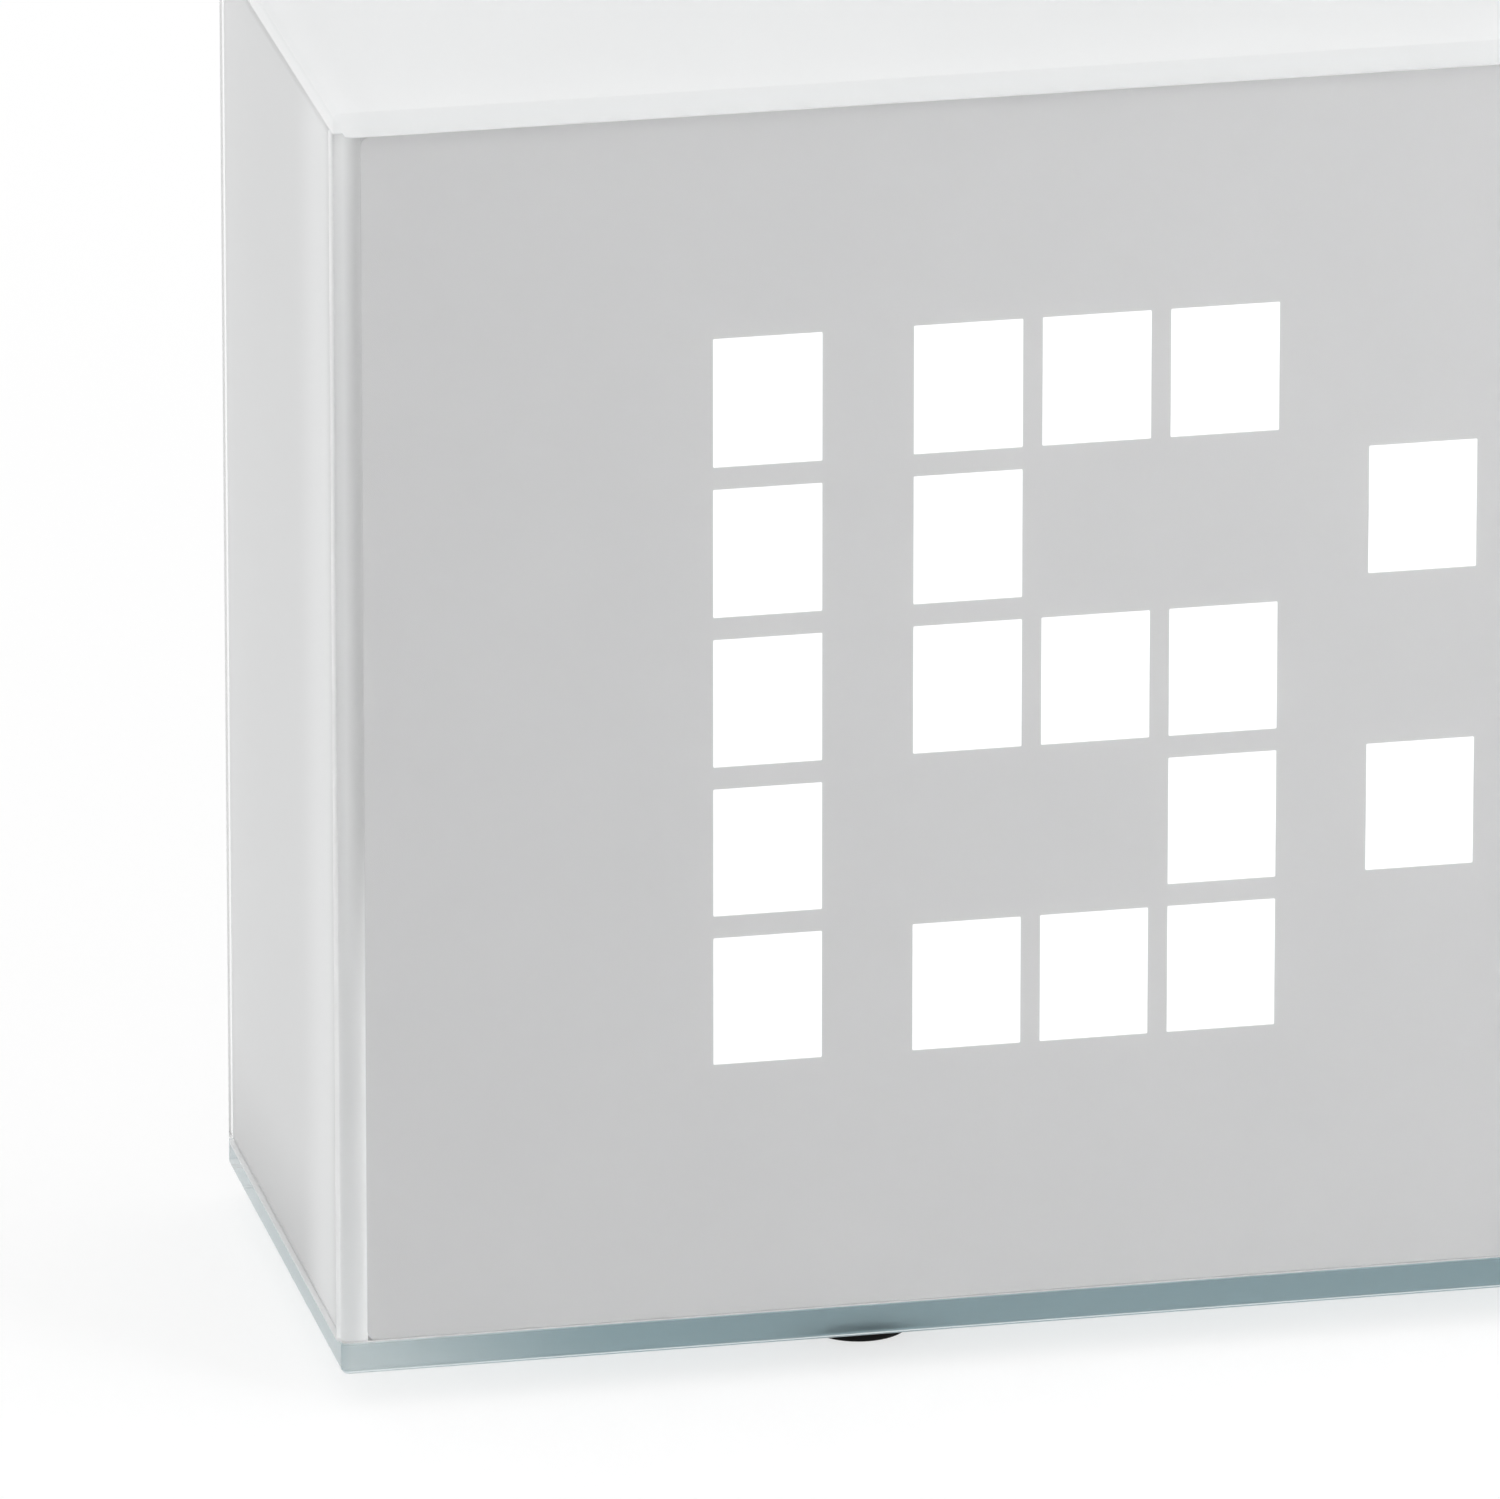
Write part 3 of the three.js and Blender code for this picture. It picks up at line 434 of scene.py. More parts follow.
def textured(
    name, color, roughness, grain, depth, variation=PLAIN_VARIATION, metallic=0.0, shine=PLAIN_SHINE,
):
    """A moulded, painted or metal surface: a fine grain in its relief and gloss, and slow changes in its
    colour."""
    material = bpy.data.materials.new(name)
    material.use_nodes = True
    nodes, links = material.node_tree.nodes, material.node_tree.links
    shader = nodes["Principled BSDF"]
    shader.inputs["Metallic"].default_value = metallic
    shader.inputs["Specular IOR Level"].default_value = shine
    place = nodes.new("ShaderNodeTexCoord")

    cloud = nodes.new("ShaderNodeTexNoise")
    cloud.inputs["Scale"].default_value = CLOUD_SCALE
    cloud.inputs["Detail"].default_value = CLOUD_DETAIL
    links.new(place.outputs["Object"], cloud.inputs["Vector"])
    shade = nodes.new("ShaderNodeMapRange")
    shade.inputs["To Min"].default_value = 1 - variation
    shade.inputs["To Max"].default_value = 1 + variation
    links.new(cloud.outputs["Fac"], shade.inputs["Value"])
    tint = nodes.new("ShaderNodeMix")
    tint.data_type = "RGBA"
    tint.blend_type = "MULTIPLY"
    tint.inputs["Factor"].default_value = 1
    tint.inputs["A"].default_value = (*color, 1)
    links.new(shade.outputs["Result"], tint.inputs["B"])
    links.new(tint.outputs["Result"], shader.inputs["Base Color"])

    fine = nodes.new("ShaderNodeTexNoise")
    fine.inputs["Scale"].default_value = 1 / grain
    fine.inputs["Detail"].default_value = GRAIN_DETAIL
    links.new(place.outputs["Object"], fine.inputs["Vector"])
    gloss = nodes.new("ShaderNodeMapRange")
    gloss.inputs["To Min"].default_value = roughness - GLOSS_VARIATION
    gloss.inputs["To Max"].default_value = roughness + GLOSS_VARIATION
    links.new(fine.outputs["Fac"], gloss.inputs["Value"])
    links.new(gloss.outputs["Result"], shader.inputs["Roughness"])
    relief = nodes.new("ShaderNodeBump")
    relief.inputs["Distance"].default_value = depth
    links.new(fine.outputs["Fac"], relief.inputs["Height"])
    links.new(relief.outputs["Normal"], shader.inputs["Normal"])
    return material


def clear_acrylic():
    """Polished acrylic with a faint blue-green depth, and a trace of haze that comes and goes."""
    material = bpy.data.materials.new("clear_acrylic")
    material.use_nodes = True
    nodes, links = material.node_tree.nodes, material.node_tree.links
    shader = nodes["Principled BSDF"]
    shader.inputs["Base Color"].default_value = (1, 1, 1, 1)
    shader.inputs["Transmission Weight"].default_value = 1
    shader.inputs["IOR"].default_value = ACRYLIC_IOR
    place = nodes.new("ShaderNodeTexCoord")
    haze = nodes.new("ShaderNodeTexNoise")
    haze.inputs["Scale"].default_value = HAZE_SCALE
    links.new(place.outputs["Object"], haze.inputs["Vector"])
    gloss = nodes.new("ShaderNodeMapRange")
    gloss.inputs["To Min"].default_value = 0
    gloss.inputs["To Max"].default_value = HAZE_ROUGHNESS
    links.new(haze.outputs["Fac"], gloss.inputs["Value"])
    links.new(gloss.outputs["Result"], shader.inputs["Roughness"])
    depth = nodes.new("ShaderNodeVolumeAbsorption")
    depth.inputs["Color"].default_value = (*ACRYLIC_TINT, 1)
    depth.inputs["Density"].default_value = ACRYLIC_DENSITY
    links.new(depth.outputs["Volume"], nodes["Material Output"].inputs["Volume"])
    return material


def lit_cell():
    """The cells' light: an even white with a trace of the diffuser's cloud in it."""
    material = bpy.data.materials.new("lit_cell")
    material.use_nodes = True
    nodes, links = material.node_tree.nodes, material.node_tree.links
    shader = nodes["Principled BSDF"]
    shader.inputs["Base Color"].default_value = (CELL_GREY, CELL_GREY, CELL_GREY, 1)
    shader.inputs["Roughness"].default_value = CELL_ROUGHNESS
    shader.inputs["Emission Color"].default_value = (1, 1, 1, 1)
    place = nodes.new("ShaderNodeTexCoord")
    cloud = nodes.new("ShaderNodeTexNoise")
    cloud.inputs["Scale"].default_value = CELL_CLOUD_SCALE
    links.new(place.outputs["Object"], cloud.inputs["Vector"])
    level = nodes.new("ShaderNodeMapRange")
    level.inputs["To Min"].default_value = CELL_LIGHT_LOW
    level.inputs["To Max"].default_value = CELL_LIGHT_HIGH
    links.new(cloud.outputs["Fac"], level.inputs["Value"])
    links.new(level.outputs["Result"], shader.inputs["Emission Strength"])
    return material


def blend_along(material, axis, start, end, color):
    """Turns a material's colour into another one between two places along an axis."""
    nodes, links = material.node_tree.nodes, material.node_tree.links
    place = nodes.new("ShaderNodeTexCoord")
    axes = nodes.new("ShaderNodeSeparateXYZ")
    links.new(place.outputs["Object"], axes.inputs["Vector"])
    share = nodes.new("ShaderNodeMapRange")
    share.interpolation_type = "SMOOTHSTEP"
    share.inputs["From Min"].default_value = start
    share.inputs["From Max"].default_value = end
    links.new(axes.outputs[axis], share.inputs["Value"])
    tint = nodes.new("ShaderNodeMix")
    tint.data_type = "RGBA"
    tint.inputs["B"].default_value = (*color, 1)
    links.new(share.outputs["Result"], tint.inputs["Factor"])
    shader = nodes["Principled BSDF"]
    links.new(shader.inputs["Base Color"].links[0].from_socket, tint.inputs["A"])
    links.new(tint.outputs["Result"], shader.inputs["Base Color"])


def make_white_paint():
    paint = finishes["white_paint"]
    # Painted shade: the walls darker toward the foot, where the table shades them
    blend_along(paint, "Z", shell_low.z + FOOT_SHADE_HEIGHT, shell_low.z, FOOT_SHADE)
    # Painted light: lighter toward the front, a gleam painted into the colour
    blend_along(paint, "Y", pane_back + GLEAM_START, pane_back + GLEAM_END, PAINTED_GLEAM)
    # Painted shade: darker again right at the front edge
    blend_along(paint, "Y", pane_back + EDGE_SHADE_DEPTH, pane_back, EDGE_SHADE)


def make_shaded_cement():
    cement = finishes["shaded_cement"]
    # Painted light: the cement lighter toward its ends, by the case's corners
    blend_along(cement, "X", shell_low.x + CEMENT_FADE, shell_low.x, CEMENT_LIT_END)
    blend_along(cement, "X", shell_high.x - CEMENT_FADE, shell_high.x, CEMENT_LIT_END)


def make_side_joint_paint():
    paint = finishes["side_joint_paint"]
    # Painted shade: darker toward the panel and lighter at the outer edge in the upper part, an even tone
    # lower down
    light = WALL * JOINT_LIT_SHARE
    blend_along(paint, "X", shell_low.x + light, shell_low.x + WALL, JOINT_SHADE)
    blend_along(paint, "X", shell_high.x - WALL, shell_high.x - light, JOINT_LIT)
    blend_along(paint, "Z", shell_low.z + UNEVEN_ABOVE, shell_low.z + EVEN_BELOW, JOINT_EVEN)


acrylic = clear_acrylic()
lit = lit_cell()
finishes = {name: textured(name, **finish) for name, finish in FINISHES.items()}
make_white_paint()
make_shaded_cement()
make_side_joint_paint()
white_plastic = finishes["white_plastic"]
steel = finishes["zinc_steel"]

looks = {
    "clear_acrylic": acrylic,
    "white_plastic": white_plastic,
    "face_film": finishes["panel_grey"],
    "diffuser": finishes["milky_sheet"],
    "black_plastic": finishes["black_plastic"],
    "board": finishes["board_green"],
    "steel": steel,
    "contact_brass": finishes["contact_brass"],
    "speaker_paper": finishes["speaker_paper"],
    "flat_cable": finishes["flat_cable"],
    "rubber": finishes["rubber"],
}


def dress_cad_nodes():
    """The nodes that keep their CAD shape take the look of their slot."""
    for entry in frame["record"]["subparts"]:
        node = frame["nodes"][entry["node"]]
        if not node.material_slots:
            node.data.materials.append(None)
        for place in node.material_slots:
            place.link = "OBJECT"
            place.material = looks[entry["material_slot"]]


# Case

def snooze_shape(spread):
    return outline(SNOOZE_LENGTH + 2 * spread, SNOOZE_WIDTH + 2 * spread, SNOOZE_WIDTH, SNOOZE_STEPS)


def snooze_slot(low, face, chamfer):
    centre = middle("snooze_bar").xy
    return opening("snooze_slot", lambda spread: snooze_shape(spread + SLIP), low, face, centre, chamfer, "Z")


def make_shell():
    shell = slab(
        "shell_moulding", shell_high.x - shell_low.x, shell_high.z - shell_low.z, EDGE, shell_low.y,
        shell_high.y, upright_centre, low_edge=EDGE, high_edge=EDGE,
    )

    def hollow(spread):
        return outline(cavity_width + 2 * spread, cavity_height + 2 * spread, CAVITY_CORNER + spread)
    tools = [
        opening("cavity", hollow, pane_back, shell_high.y, upright_centre, RIM_CHAMFER),
        snooze_slot(shell_high.z - WALL - OVER, shell_high.z, RIM_CHAMFER),
    ]
    cut(shell, *tools)
    dress(shell, acrylic, "clear_acrylic", "case", "clear_shell")


def make_backing():
    """The white paint on the shell's inner walls, sunk a hair into the acrylic, because paint wets it and
    leaves no air between."""
    backing = slab(
        "white_backing", cavity_width + 2 * SUNK, cavity_height + 2 * SUNK, CAVITY_CORNER + SUNK,
        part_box("face_film")[1].y, shell_high.y - 2 * RIM_CHAMFER, upright_centre,
    )
    inner = slab(
        "backing_inside", cavity_width - 2 * PAINT, cavity_height - 2 * PAINT, CAVITY_CORNER,
        pane_back - OVER, shell_high.y + OVER, upright_centre,
    )
    cut(backing, inner, snooze_slot(shell_high.z - 2 * WALL, shell_high.z, 0))
    dress(backing, finishes["white_paint"], "white_plastic", "case")


def joint_sheet(name, low, side_margin, front):
    """A thin sheet of paint or cement between a level plate and the ends of the walls, from its front edge
    back."""
    rear = shell_high.y - JOINT_MARGIN
    width = shell_high.x - shell_low.x - 2 * side_margin
    centre = (case_middle.x, (front + rear) / 2)
    return slab(name, width, rear - front, EDGE, low, low + JOINT, centre, "Z")


def make_joints():
    """The joints of the top plate and the base plate. The base plate's is blue-grey below, the acrylic's tint
    with painted shade in it, and white above, whiter than the walls' paint as painted light; both its sheets
    begin behind the clear pane. The top plate's sheet is whiter than the walls' paint too, as painted light
    from above."""
    base_top = shell_low.z + WALL - SUNK - HAIR
    lower = joint_sheet("base_cement", base_top - 2 * JOINT - HAIR, JOINT_MARGIN, pane_back)
    dress(lower, finishes["shaded_cement"], "white_plastic", "case")
    upper = joint_sheet("base_paint", base_top - JOINT, JOINT_MARGIN, pane_back)
    dress(upper, finishes["lit_edge_paint"], "white_plastic", "case")
    top_joint = shell_high.z - WALL + TOP_RISE + HAIR
    top = joint_sheet("top_paint", top_joint, TOP_MARGIN, shell_low.y + JOINT_MARGIN)
    cut(top, snooze_slot(shell_high.z - 2 * WALL, shell_high.z, 0))
    dress(top, finishes["top_lit_paint"], "white_plastic", "case")


def make_side_joints():
    """Sheets of paint in the joints between the front pane and the ends of the side walls, with painted shade
    that darkens them toward the panel in their upper part.
    """
    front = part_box("face_film")[0].y + HAIR
    low = shell_low.z + WALL - PANEL_DROP
    high = shell_high.z - WALL + TOP_RISE
    width = WALL - JOINT_MARGIN + 2 * HAIR
    from_middle = (cavity_width + width) / 2 - 2 * HAIR
    for name, side in (("left_joint", -1), ("right_joint", 1)):
        centre = (case_middle.x + side * from_middle, (low + high) / 2)
        sheet = slab(name, width, high - low, 0, front, front + JOINT, centre)
        dress(sheet, finishes["side_joint_paint"], "white_plastic", "case")


def make_panel():
    """The silver-grey film behind the pane. It reaches a little way into the joints of the top and base
    plates."""
    low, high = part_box("face_film")
    height = cavity_height - 2 * HAIR + TOP_RISE + PANEL_DROP
    centre = (case_middle.x, case_middle.z + (TOP_RISE - PANEL_DROP) / 2)
    panel = slab("face_panel", cavity_width - 2 * HAIR, height, CAVITY_CORNER, low.y, high.y - HAIR, centre)
    dress(panel, finishes["panel_grey"], "face_film", "case", "face_film")


def shown_cells():
    """Middles of the lit cells: four figures, with the colon's two cells between the pairs."""
    figure_width = DIGIT_COLUMNS * CELL_WIDTH + (DIGIT_COLUMNS - 1) * CELL_GAP_ACROSS
    across = CELL_WIDTH + CELL_GAP_ACROSS
    up = CELL_HEIGHT + CELL_GAP_UP
    bottom = shell_low.z + WALL + MARGIN_BOTTOM + CELL_HEIGHT / 2
    cells = [(case_middle.x, bottom + row * up) for row in (1, CELL_ROWS - 2)]
    for n, figure in enumerate(SHOWN):
        left = shell_low.x + WALL + DIGIT_GAP + n * (figure_width + DIGIT_GAP)
        if n >= len(SHOWN) / 2:
            left += CELL_WIDTH + DIGIT_GAP
        for row, marks in enumerate(FIGURES[figure]):
            for column, mark in enumerate(marks):
                if mark == "#":
                    x = left + CELL_WIDTH / 2 + column * across
                    cells.append((x, bottom + (CELL_ROWS - 1 - row) * up))
    return cells


def make_lit_cells():
    """The cells that are lit, as tiles a hair proud of the panel."""
    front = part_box("face_film")[0].y - HAIR
    tiles = [
        slab(f"cell_{n}", CELL_WIDTH, CELL_HEIGHT, CELL_CORNER, front, front + TILE, place)
        for n, place in enumerate(shown_cells())
    ]
    bpy.ops.object.select_all(action="DESELECT")
    for tile in tiles:
        tile.select_set(True)
    bpy.context.view_layer.objects.active = tiles[0]
    bpy.ops.object.join()
    tiles[0].name = "lit_cells"
    dress(tiles[0], lit, "diffuser", "case")


def make_feet():
    """Rubber feet that end just under the base plate, so that none shows dark through the clear acrylic."""
    for foot in [f"foot_{n + 1}" for n in range(FEET)]:
        low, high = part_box(foot)
        radius = (high.x - low.x) / 2
        profile = [(radius - inset, low.z + rise) for inset, rise in quarter_turn(FOOT_EDGE)]
        profile.append((radius, shell_low.z - HAIR))
        piece = turned(f"rubber_{foot}", profile, middle(foot).xy, "Z")
        dress(piece, finishes["rubber"], "rubber", "case", foot)


def make_snooze_bar():
    low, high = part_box("snooze_bar")
    centre = middle("snooze_bar").xy
    flange_low = low.z + SNOOZE_DROP
    flange_high = flange_low + SNOOZE_FLANGE_HEIGHT
    rings = [
        (snooze_shape(SNOOZE_FLANGE), flange_low),
        (snooze_shape(SNOOZE_FLANGE), flange_high),
        (snooze_shape(0), flange_high),
    ]
    rings += [
        (snooze_shape(-inset), high.z - rise)
        for inset, rise in reversed(quarter_turn(SNOOZE_EDGE))
    ]
    bar = loft("snooze_key", rings, centre, "Z")
    stem = turned("stem", [(SNOOZE_STEM, low.z), (SNOOZE_STEM, flange_high - HAIR)], centre, "Z")
    fuse(bar, stem)
    dress(bar, white_plastic, "white_plastic", "snooze_bar", "snooze_bar")


# Rear

cover_low, cover_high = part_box("rear_cover")
cover_face = cover_high.y
cover_inside = cover_face - COVER_THICKNESS


def upright(point):
    return (point.x, point.z)


def rounded(width, height, corner):
    """A rectangle's outline that grows by a spread, for an opening."""
    return lambda spread: outline(width + 2 * spread, height + 2 * spread, corner + spread)


def round_hole(radius):
    return lambda spread: circle(radius + spread)


def grille_slots(centre):
    rows = int((GRILLE_RADIUS - GRILLE_SLOT / 2) // GRILLE_PITCH)
    slots = []
    for n in range(-rows, rows + 1):
        rise = n * GRILLE_PITCH
        length = 2 * math.sqrt(GRILLE_RADIUS ** 2 - rise ** 2) - GRILLE_SLOT
        slots.append(opening(
            "grille_slot", rounded(length, GRILLE_SLOT, GRILLE_SLOT), cover_inside - OVER, cover_face,
            (centre[0], centre[1] + rise),
        ))
    return slots


def make_rear_cover():
    speaker = upright(middle("speaker_frame"))
    battery = upright(middle("battery_door"))
    cover = slab(
        "back_plate", cover_high.x - cover_low.x, cover_high.z - cover_low.z, COVER_CORNER, cover_inside,
        cover_face, upright_centre, high_edge=COVER_EDGE,
    )
    speaker_low, speaker_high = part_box("speaker_frame")
    collar_hollow = (speaker_high.x - speaker_low.x) / 2 + SLIP
    collar = turned("collar", [
        (collar_hollow + COLLAR_WALL, cover_inside - COLLAR_HEIGHT),
        (collar_hollow + COLLAR_WALL, cover_inside + HAIR),
    ], speaker)
    box_side = BATTERY_SIDE + 2 * BATTERY_WALL
    box_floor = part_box("battery_contact_floor")[0].y - CLEAR / 2
    box_foot = box_floor - BATTERY_FLOOR
    box = slab("battery_box", box_side, box_side, COVER_CORNER, box_foot, cover_inside + HAIR, battery)
    fuse(cover, collar, box)
    recess_side = BATTERY_SIDE + 2 * (DOOR_LIP + SLIP)
    slot_length = SLIDER_LENGTH + SLIDER_TRAVEL + 2 * SLIP
    tools = [
        turned("collar_hollow", [
            (collar_hollow, cover_inside - COLLAR_HEIGHT - OVER),
            (collar_hollow, cover_inside),
        ], speaker),
        slab("battery_hollow", BATTERY_SIDE, BATTERY_SIDE, CLEAR, box_floor, cover_face + OVER, battery),
        opening(
            "door_recess", rounded(recess_side, recess_side, COVER_CORNER), cover_face - DOOR_THICKNESS,
            cover_face, battery,
        ),
        opening(
            "jack_hole", round_hole(JACK_HOLE), cover_inside - OVER, cover_face,
            upright(middle("power_jack")),
        ),
        opening(
            "slider_slot", rounded(slot_length, SLIDER_WIDTH + 2 * SLIP, COVER_EDGE), cover_inside - OVER,
            cover_face, upright(middle("slide_switch")),
        ),
        *grille_slots(speaker),
    ]
    for name in BUTTON_NAMES:
        tools.append(opening(
            "button_hole", round_hole(BUTTON_RADIUS + SLIP), cover_inside - OVER, cover_face,
            upright(middle(f"{name}_button")),
        ))
    recess_floor = cover_face - SCREW_RECESS
    for n in range(COVER_SCREWS):
        place = upright(middle(f"cover_screw_{n + 1}"))
        tools.append(opening("screw_recess", round_hole(SCREW_HEAD + SLIP), recess_floor, cover_face, place))
        tools.append(turned("screw_hole", [
            (SCREW_RADIUS + SLIP, cover_inside - OVER),
            (SCREW_RADIUS + SLIP, recess_floor + HAIR),
        ], place))
    cut(cover, *tools)
    dress(cover, white_plastic, "white_plastic", "case", "rear_cover")


def make_buttons():
    for name in BUTTON_NAMES:
        node = f"{name}_button"
        low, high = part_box(node)
        flange = cover_inside - SLIP - BUTTON_FLANGE_HEIGHT
        profile = [
            (STEM_RADIUS, low.y),
            (STEM_RADIUS, flange),
            (BUTTON_RADIUS + BUTTON_FLANGE, flange),
            (BUTTON_RADIUS + BUTTON_FLANGE, flange + BUTTON_FLANGE_HEIGHT),
            (BUTTON_RADIUS, flange + BUTTON_FLANGE_HEIGHT),
        ]
        profile += [
            (BUTTON_RADIUS - inset, high.y - rise)
            for inset, rise in reversed(quarter_turn(BUTTON_EDGE))
        ]
        # A shallow dish for the fingertip
        reach = BUTTON_RADIUS - 2 * BUTTON_EDGE
        for step in range(1, 2 * EDGE_STEPS):
            share = 1 - step / (2 * EDGE_STEPS)
            profile.append((reach * share, high.y - BUTTON_DISH * (1 - share ** 2)))
        key = turned(f"{name}_key", profile, upright(middle(node)))
        dress(key, white_plastic, "white_plastic", node, node)


def make_slider():
    low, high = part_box("alarm_slider")
    centre = upright(middle("alarm_slider"))
    flange = cover_inside - SLIP - SLIDER_FLANGE_HEIGHT
    flange_top = flange + SLIDER_FLANGE_HEIGHT
    plate = slab("slide_key", high.x - low.x, high.z - low.z, SLIDER_EDGE, flange, flange_top, centre)
    cap = slab(
        "cap", SLIDER_LENGTH, SLIDER_WIDTH, SLIDER_EDGE, flange + HAIR, high.y, centre, high_edge=SLIDER_EDGE,
    )
    stem_height = SLIDER_WIDTH * SLIDER_STEM_SHARE
    stem = slab("stem", SLIDER_WIDTH, stem_height, SLIDER_EDGE, low.y, flange + HAIR, centre)
    fuse(plate, cap, stem)
    pitch = SLIDER_LENGTH / (SLIDER_GROOVES + 1)
    groove_width = pitch * GROOVE_SHARE
    grooves = []
    for n in range(1, SLIDER_GROOVES + 1):
        x = centre[0] - SLIDER_LENGTH / 2 + n * pitch
        grooves.append(opening(
            "groove", rounded(groove_width, SLIDER_WIDTH + OVER, 0), high.y - groove_width, high.y,
            (x, centre[1]), chamfer=pitch * GROOVE_CHAMFER_SHARE,
        ))
    cut(plate, *grooves)
    dress(plate, white_plastic, "white_plastic", "alarm_slider", "alarm_slider")


def make_jack():
    low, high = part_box("power_jack")
    centre = upright(middle("power_jack"))
    jack = slab("inlet_socket", high.x - low.x, high.z - low.z, COVER_EDGE, low.y, high.y, centre)
    cut(jack, opening("bore", round_hole(JACK_BORE), high.y - JACK_BORE_DEPTH, high.y, centre))
    dress(jack, finishes["black_plastic"], "black_plastic", "case", "power_jack")
    foot = high.y - JACK_BORE_DEPTH - HAIR
    top = high.y - JACK_PIN_RECESS
    profile = [(JACK_PIN, foot)]
    profile += [(JACK_PIN - inset, top - rise) for inset, rise in reversed(quarter_turn(JACK_PIN / 2))]
    dress(turned("inlet_pin", profile, centre), steel, "steel", "case")


def make_cover_screws():
    for n in range(COVER_SCREWS):
        node = f"cover_screw_{n + 1}"
        low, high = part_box(node)
        centre = upright(middle(node))
        seat = high.y - SCREW_HEAD_HEIGHT
        profile = [
            (SCREW_TIP_SHARE * SCREW_RADIUS, low.y),
            (SCREW_RADIUS, low.y + SCREW_RADIUS),
            (SCREW_RADIUS, seat),
            (SCREW_HEAD, seat),
        ]
        profile += [
            (SCREW_HEAD - inset, high.y - rise)
            for inset, rise in reversed(quarter_turn(SCREW_HEAD_HEIGHT / 2))
        ]
        screw = turned(f"screw_{n + 1}", profile, centre)
        bars = [
            slab("cross", *size, CLEAR, high.y - SCREW_CROSS_DEPTH, high.y + OVER, centre)
            for size in ((SCREW_CROSS, SCREW_CROSS_WIDTH), (SCREW_CROSS_WIDTH, SCREW_CROSS))
        ]
        fuse(bars[0], bars[1])
        cut(screw, bars[0])
        dress(screw, steel, "steel", "case", node)


def make_battery_door():
    low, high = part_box("battery_door")
    centre = upright(middle("battery_door"))
    side = BATTERY_SIDE + 2 * DOOR_LIP
    plate_foot = high.y - DOOR_THICKNESS + CLEAR
    door = slab(
        "battery_hatch", side, side, COVER_CORNER, plate_foot, high.y, centre, high_edge=DOOR_EDGE,
    )
    rib_side = BATTERY_SIDE - 2 * SLIP
    rib = slab("rib", rib_side, rib_side, CLEAR, low.y, plate_foot + HAIR, centre)
    fuse(door, rib)
    hollow_side = rib_side - 2 * DOOR_RIB_WALL
    hollow = slab("rib_hollow", hollow_side, hollow_side, CLEAR, low.y - OVER, plate_foot, centre)
    notch_foot = high.y - DOOR_THICKNESS / 2
    notch_place = (centre[0], centre[1] + side / 2)
    notch = opening("finger_notch", round_hole(DOOR_NOTCH), notch_foot, high.y, notch_place)
    cut(door, hollow, notch)
    dress(door, white_plastic, "white_plastic", "battery_door", "battery_door")


# The stage: a pale floor, an even white studio, soft lamps and the camera

def make_camera():
    data = bpy.data.cameras.new("camera")
    data.lens = LENS
    data.sensor_width = SENSOR
    data.clip_start = CLIP_START
    data.clip_end = CLIP_END
    camera = bpy.data.objects.new("camera", data)
    bpy.context.scene.collection.objects.link(camera)
    azimuth = math.radians(CAMERA_AZIMUTH)
    elevation = math.radians(CAMERA_ELEVATION)
    back = Vector((
        math.sin(azimuth) * math.cos(elevation),
        -math.cos(azimuth) * math.cos(elevation),
        math.sin(elevation),
    ))
    aim = Vector((shell_low.x + AIM_FROM_LEFT, shell_low.y, shell_low.z + AIM_UP))
    camera.location = aim + back * CAMERA_DISTANCE
    camera.rotation_euler = (-back).to_track_quat("-Z", "Y").to_euler()
    bpy.context.scene.camera = camera


def seen_directly(nodes, links):
    """1 where a camera ray, a reflection or a ray through glass arrives, 0 for light that spreads."""
    path = nodes.new("ShaderNodeLightPath")
    share = path.outputs["Is Camera Ray"]
    for kind in ("Is Glossy Ray", "Is Transmission Ray"):
        either = nodes.new("ShaderNodeMath")
        either.operation = "MAXIMUM"
        links.new(share, either.inputs[0])
        links.new(path.outputs[kind], either.inputs[1])
        share = either.outputs["Value"]
    return share


def make_world():
    world = bpy.data.worlds.new("studio")
    bpy.context.scene.world = world
    world.use_nodes = True
    nodes, links = world.node_tree.nodes, world.node_tree.links
    sky = nodes["Background"]
    sky.inputs["Color"].default_value = (1, 1, 1, 1)
    level = nodes.new("ShaderNodeMapRange")
    level.inputs["To Min"].default_value = WORLD_LIGHT
    level.inputs["To Max"].default_value = 1
    links.new(seen_directly(nodes, links), level.inputs["Value"])
    links.new(level.outputs["Result"], sky.inputs["Strength"])


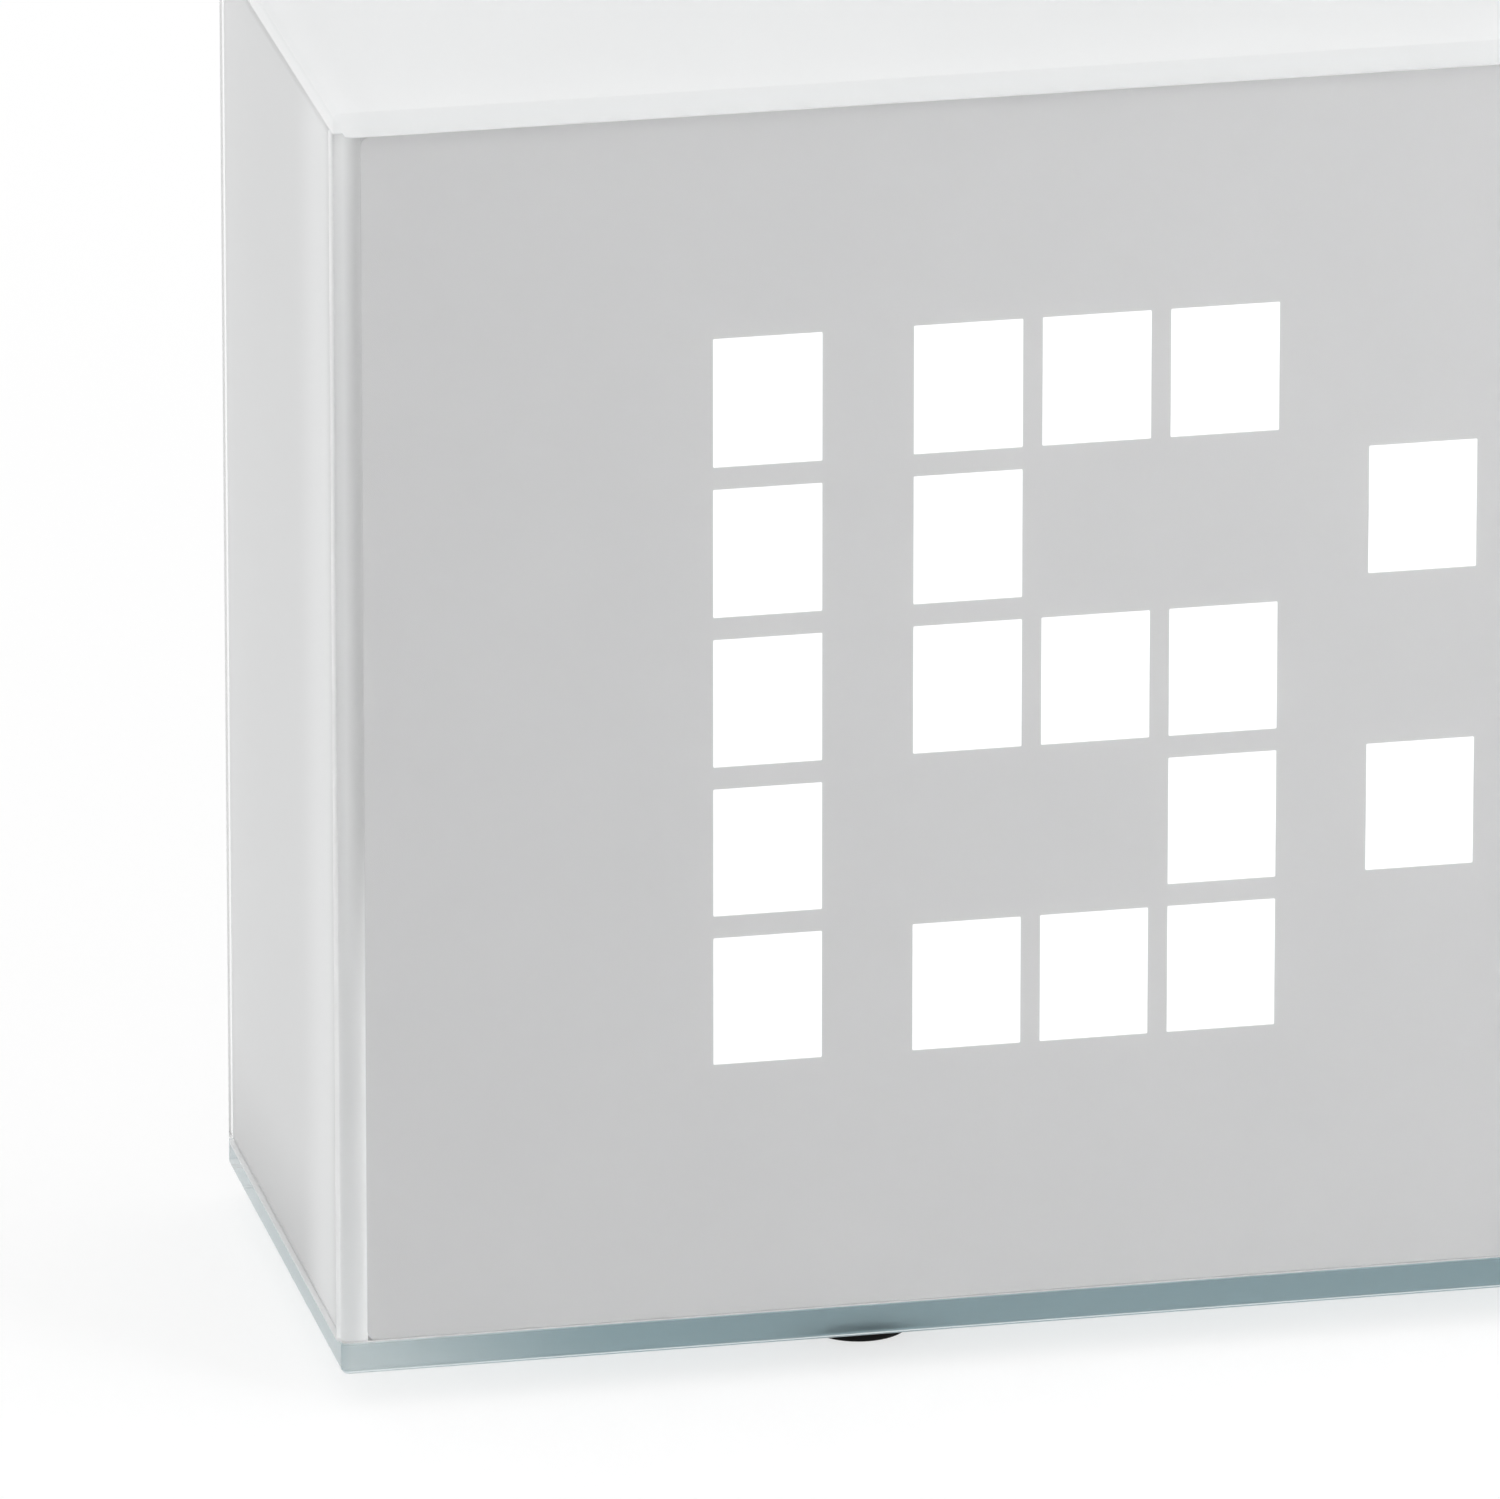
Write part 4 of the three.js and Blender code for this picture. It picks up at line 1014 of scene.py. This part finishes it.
def make_floor():
    floor = slab("floor", FLOOR_SIDE, FLOOR_SIDE, FLOOR_CORNER, -FLOOR_THICKNESS, 0, (0, 0), "Z")
    material = finishes["floor_white"]
    nodes, links = material.node_tree.nodes, material.node_tree.links
    glow = nodes.new("ShaderNodeEmission")
    glow.inputs["Color"].default_value = (1, 1, 1, 1)
    glow.inputs["Strength"].default_value = FLOOR_GLOW
    share = nodes.new("ShaderNodeMath")
    share.operation = "MULTIPLY"
    share.inputs[1].default_value = FLOOR_GLOW_SHARE
    links.new(seen_directly(nodes, links), share.inputs[0])
    mix = nodes.new("ShaderNodeMixShader")
    links.new(share.outputs["Value"], mix.inputs["Fac"])
    links.new(nodes["Principled BSDF"].outputs["BSDF"], mix.inputs[1])
    links.new(glow.outputs["Emission"], mix.inputs[2])
    links.new(mix.outputs["Shader"], nodes["Material Output"].inputs["Surface"])
    floor.data.materials.append(material)


def make_lamp(name, place, aim, size, power):
    data = bpy.data.lights.new(name, "AREA")
    data.size = size
    data.energy = power
    lamp = bpy.data.objects.new(name, data)
    bpy.context.scene.collection.objects.link(lamp)
    lamp.location = place
    lamp.rotation_euler = (Vector(aim) - Vector(place)).to_track_quat("-Z", "Y").to_euler()
    lamp.visible_camera = False
    lamp.visible_glossy = False


def make_lamps():
    for name, lamp in LAMPS.items():
        make_lamp(name, **lamp)


def set_light_paths():
    """Clear acrylic over white passes light back and forth many times before it leaves."""
    cycles = bpy.context.scene.cycles
    cycles.max_bounces = MAX_BOUNCES
    cycles.diffuse_bounces = DIFFUSE_BOUNCES
    cycles.glossy_bounces = GLOSSY_BOUNCES
    cycles.transmission_bounces = TRANSMISSION_BOUNCES
    cycles.blur_glossy = 0


make_camera()
make_world()
make_floor()
make_lamps()
set_light_paths()
dress_cad_nodes()
make_shell()
make_backing()
make_joints()
make_side_joints()
make_panel()
make_lit_cells()
make_feet()
make_snooze_bar()
make_rear_cover()
make_buttons()
make_slider()
make_jack()
make_cover_screws()
make_battery_door()

bpy.context.scene.view_settings.view_transform = "Standard"
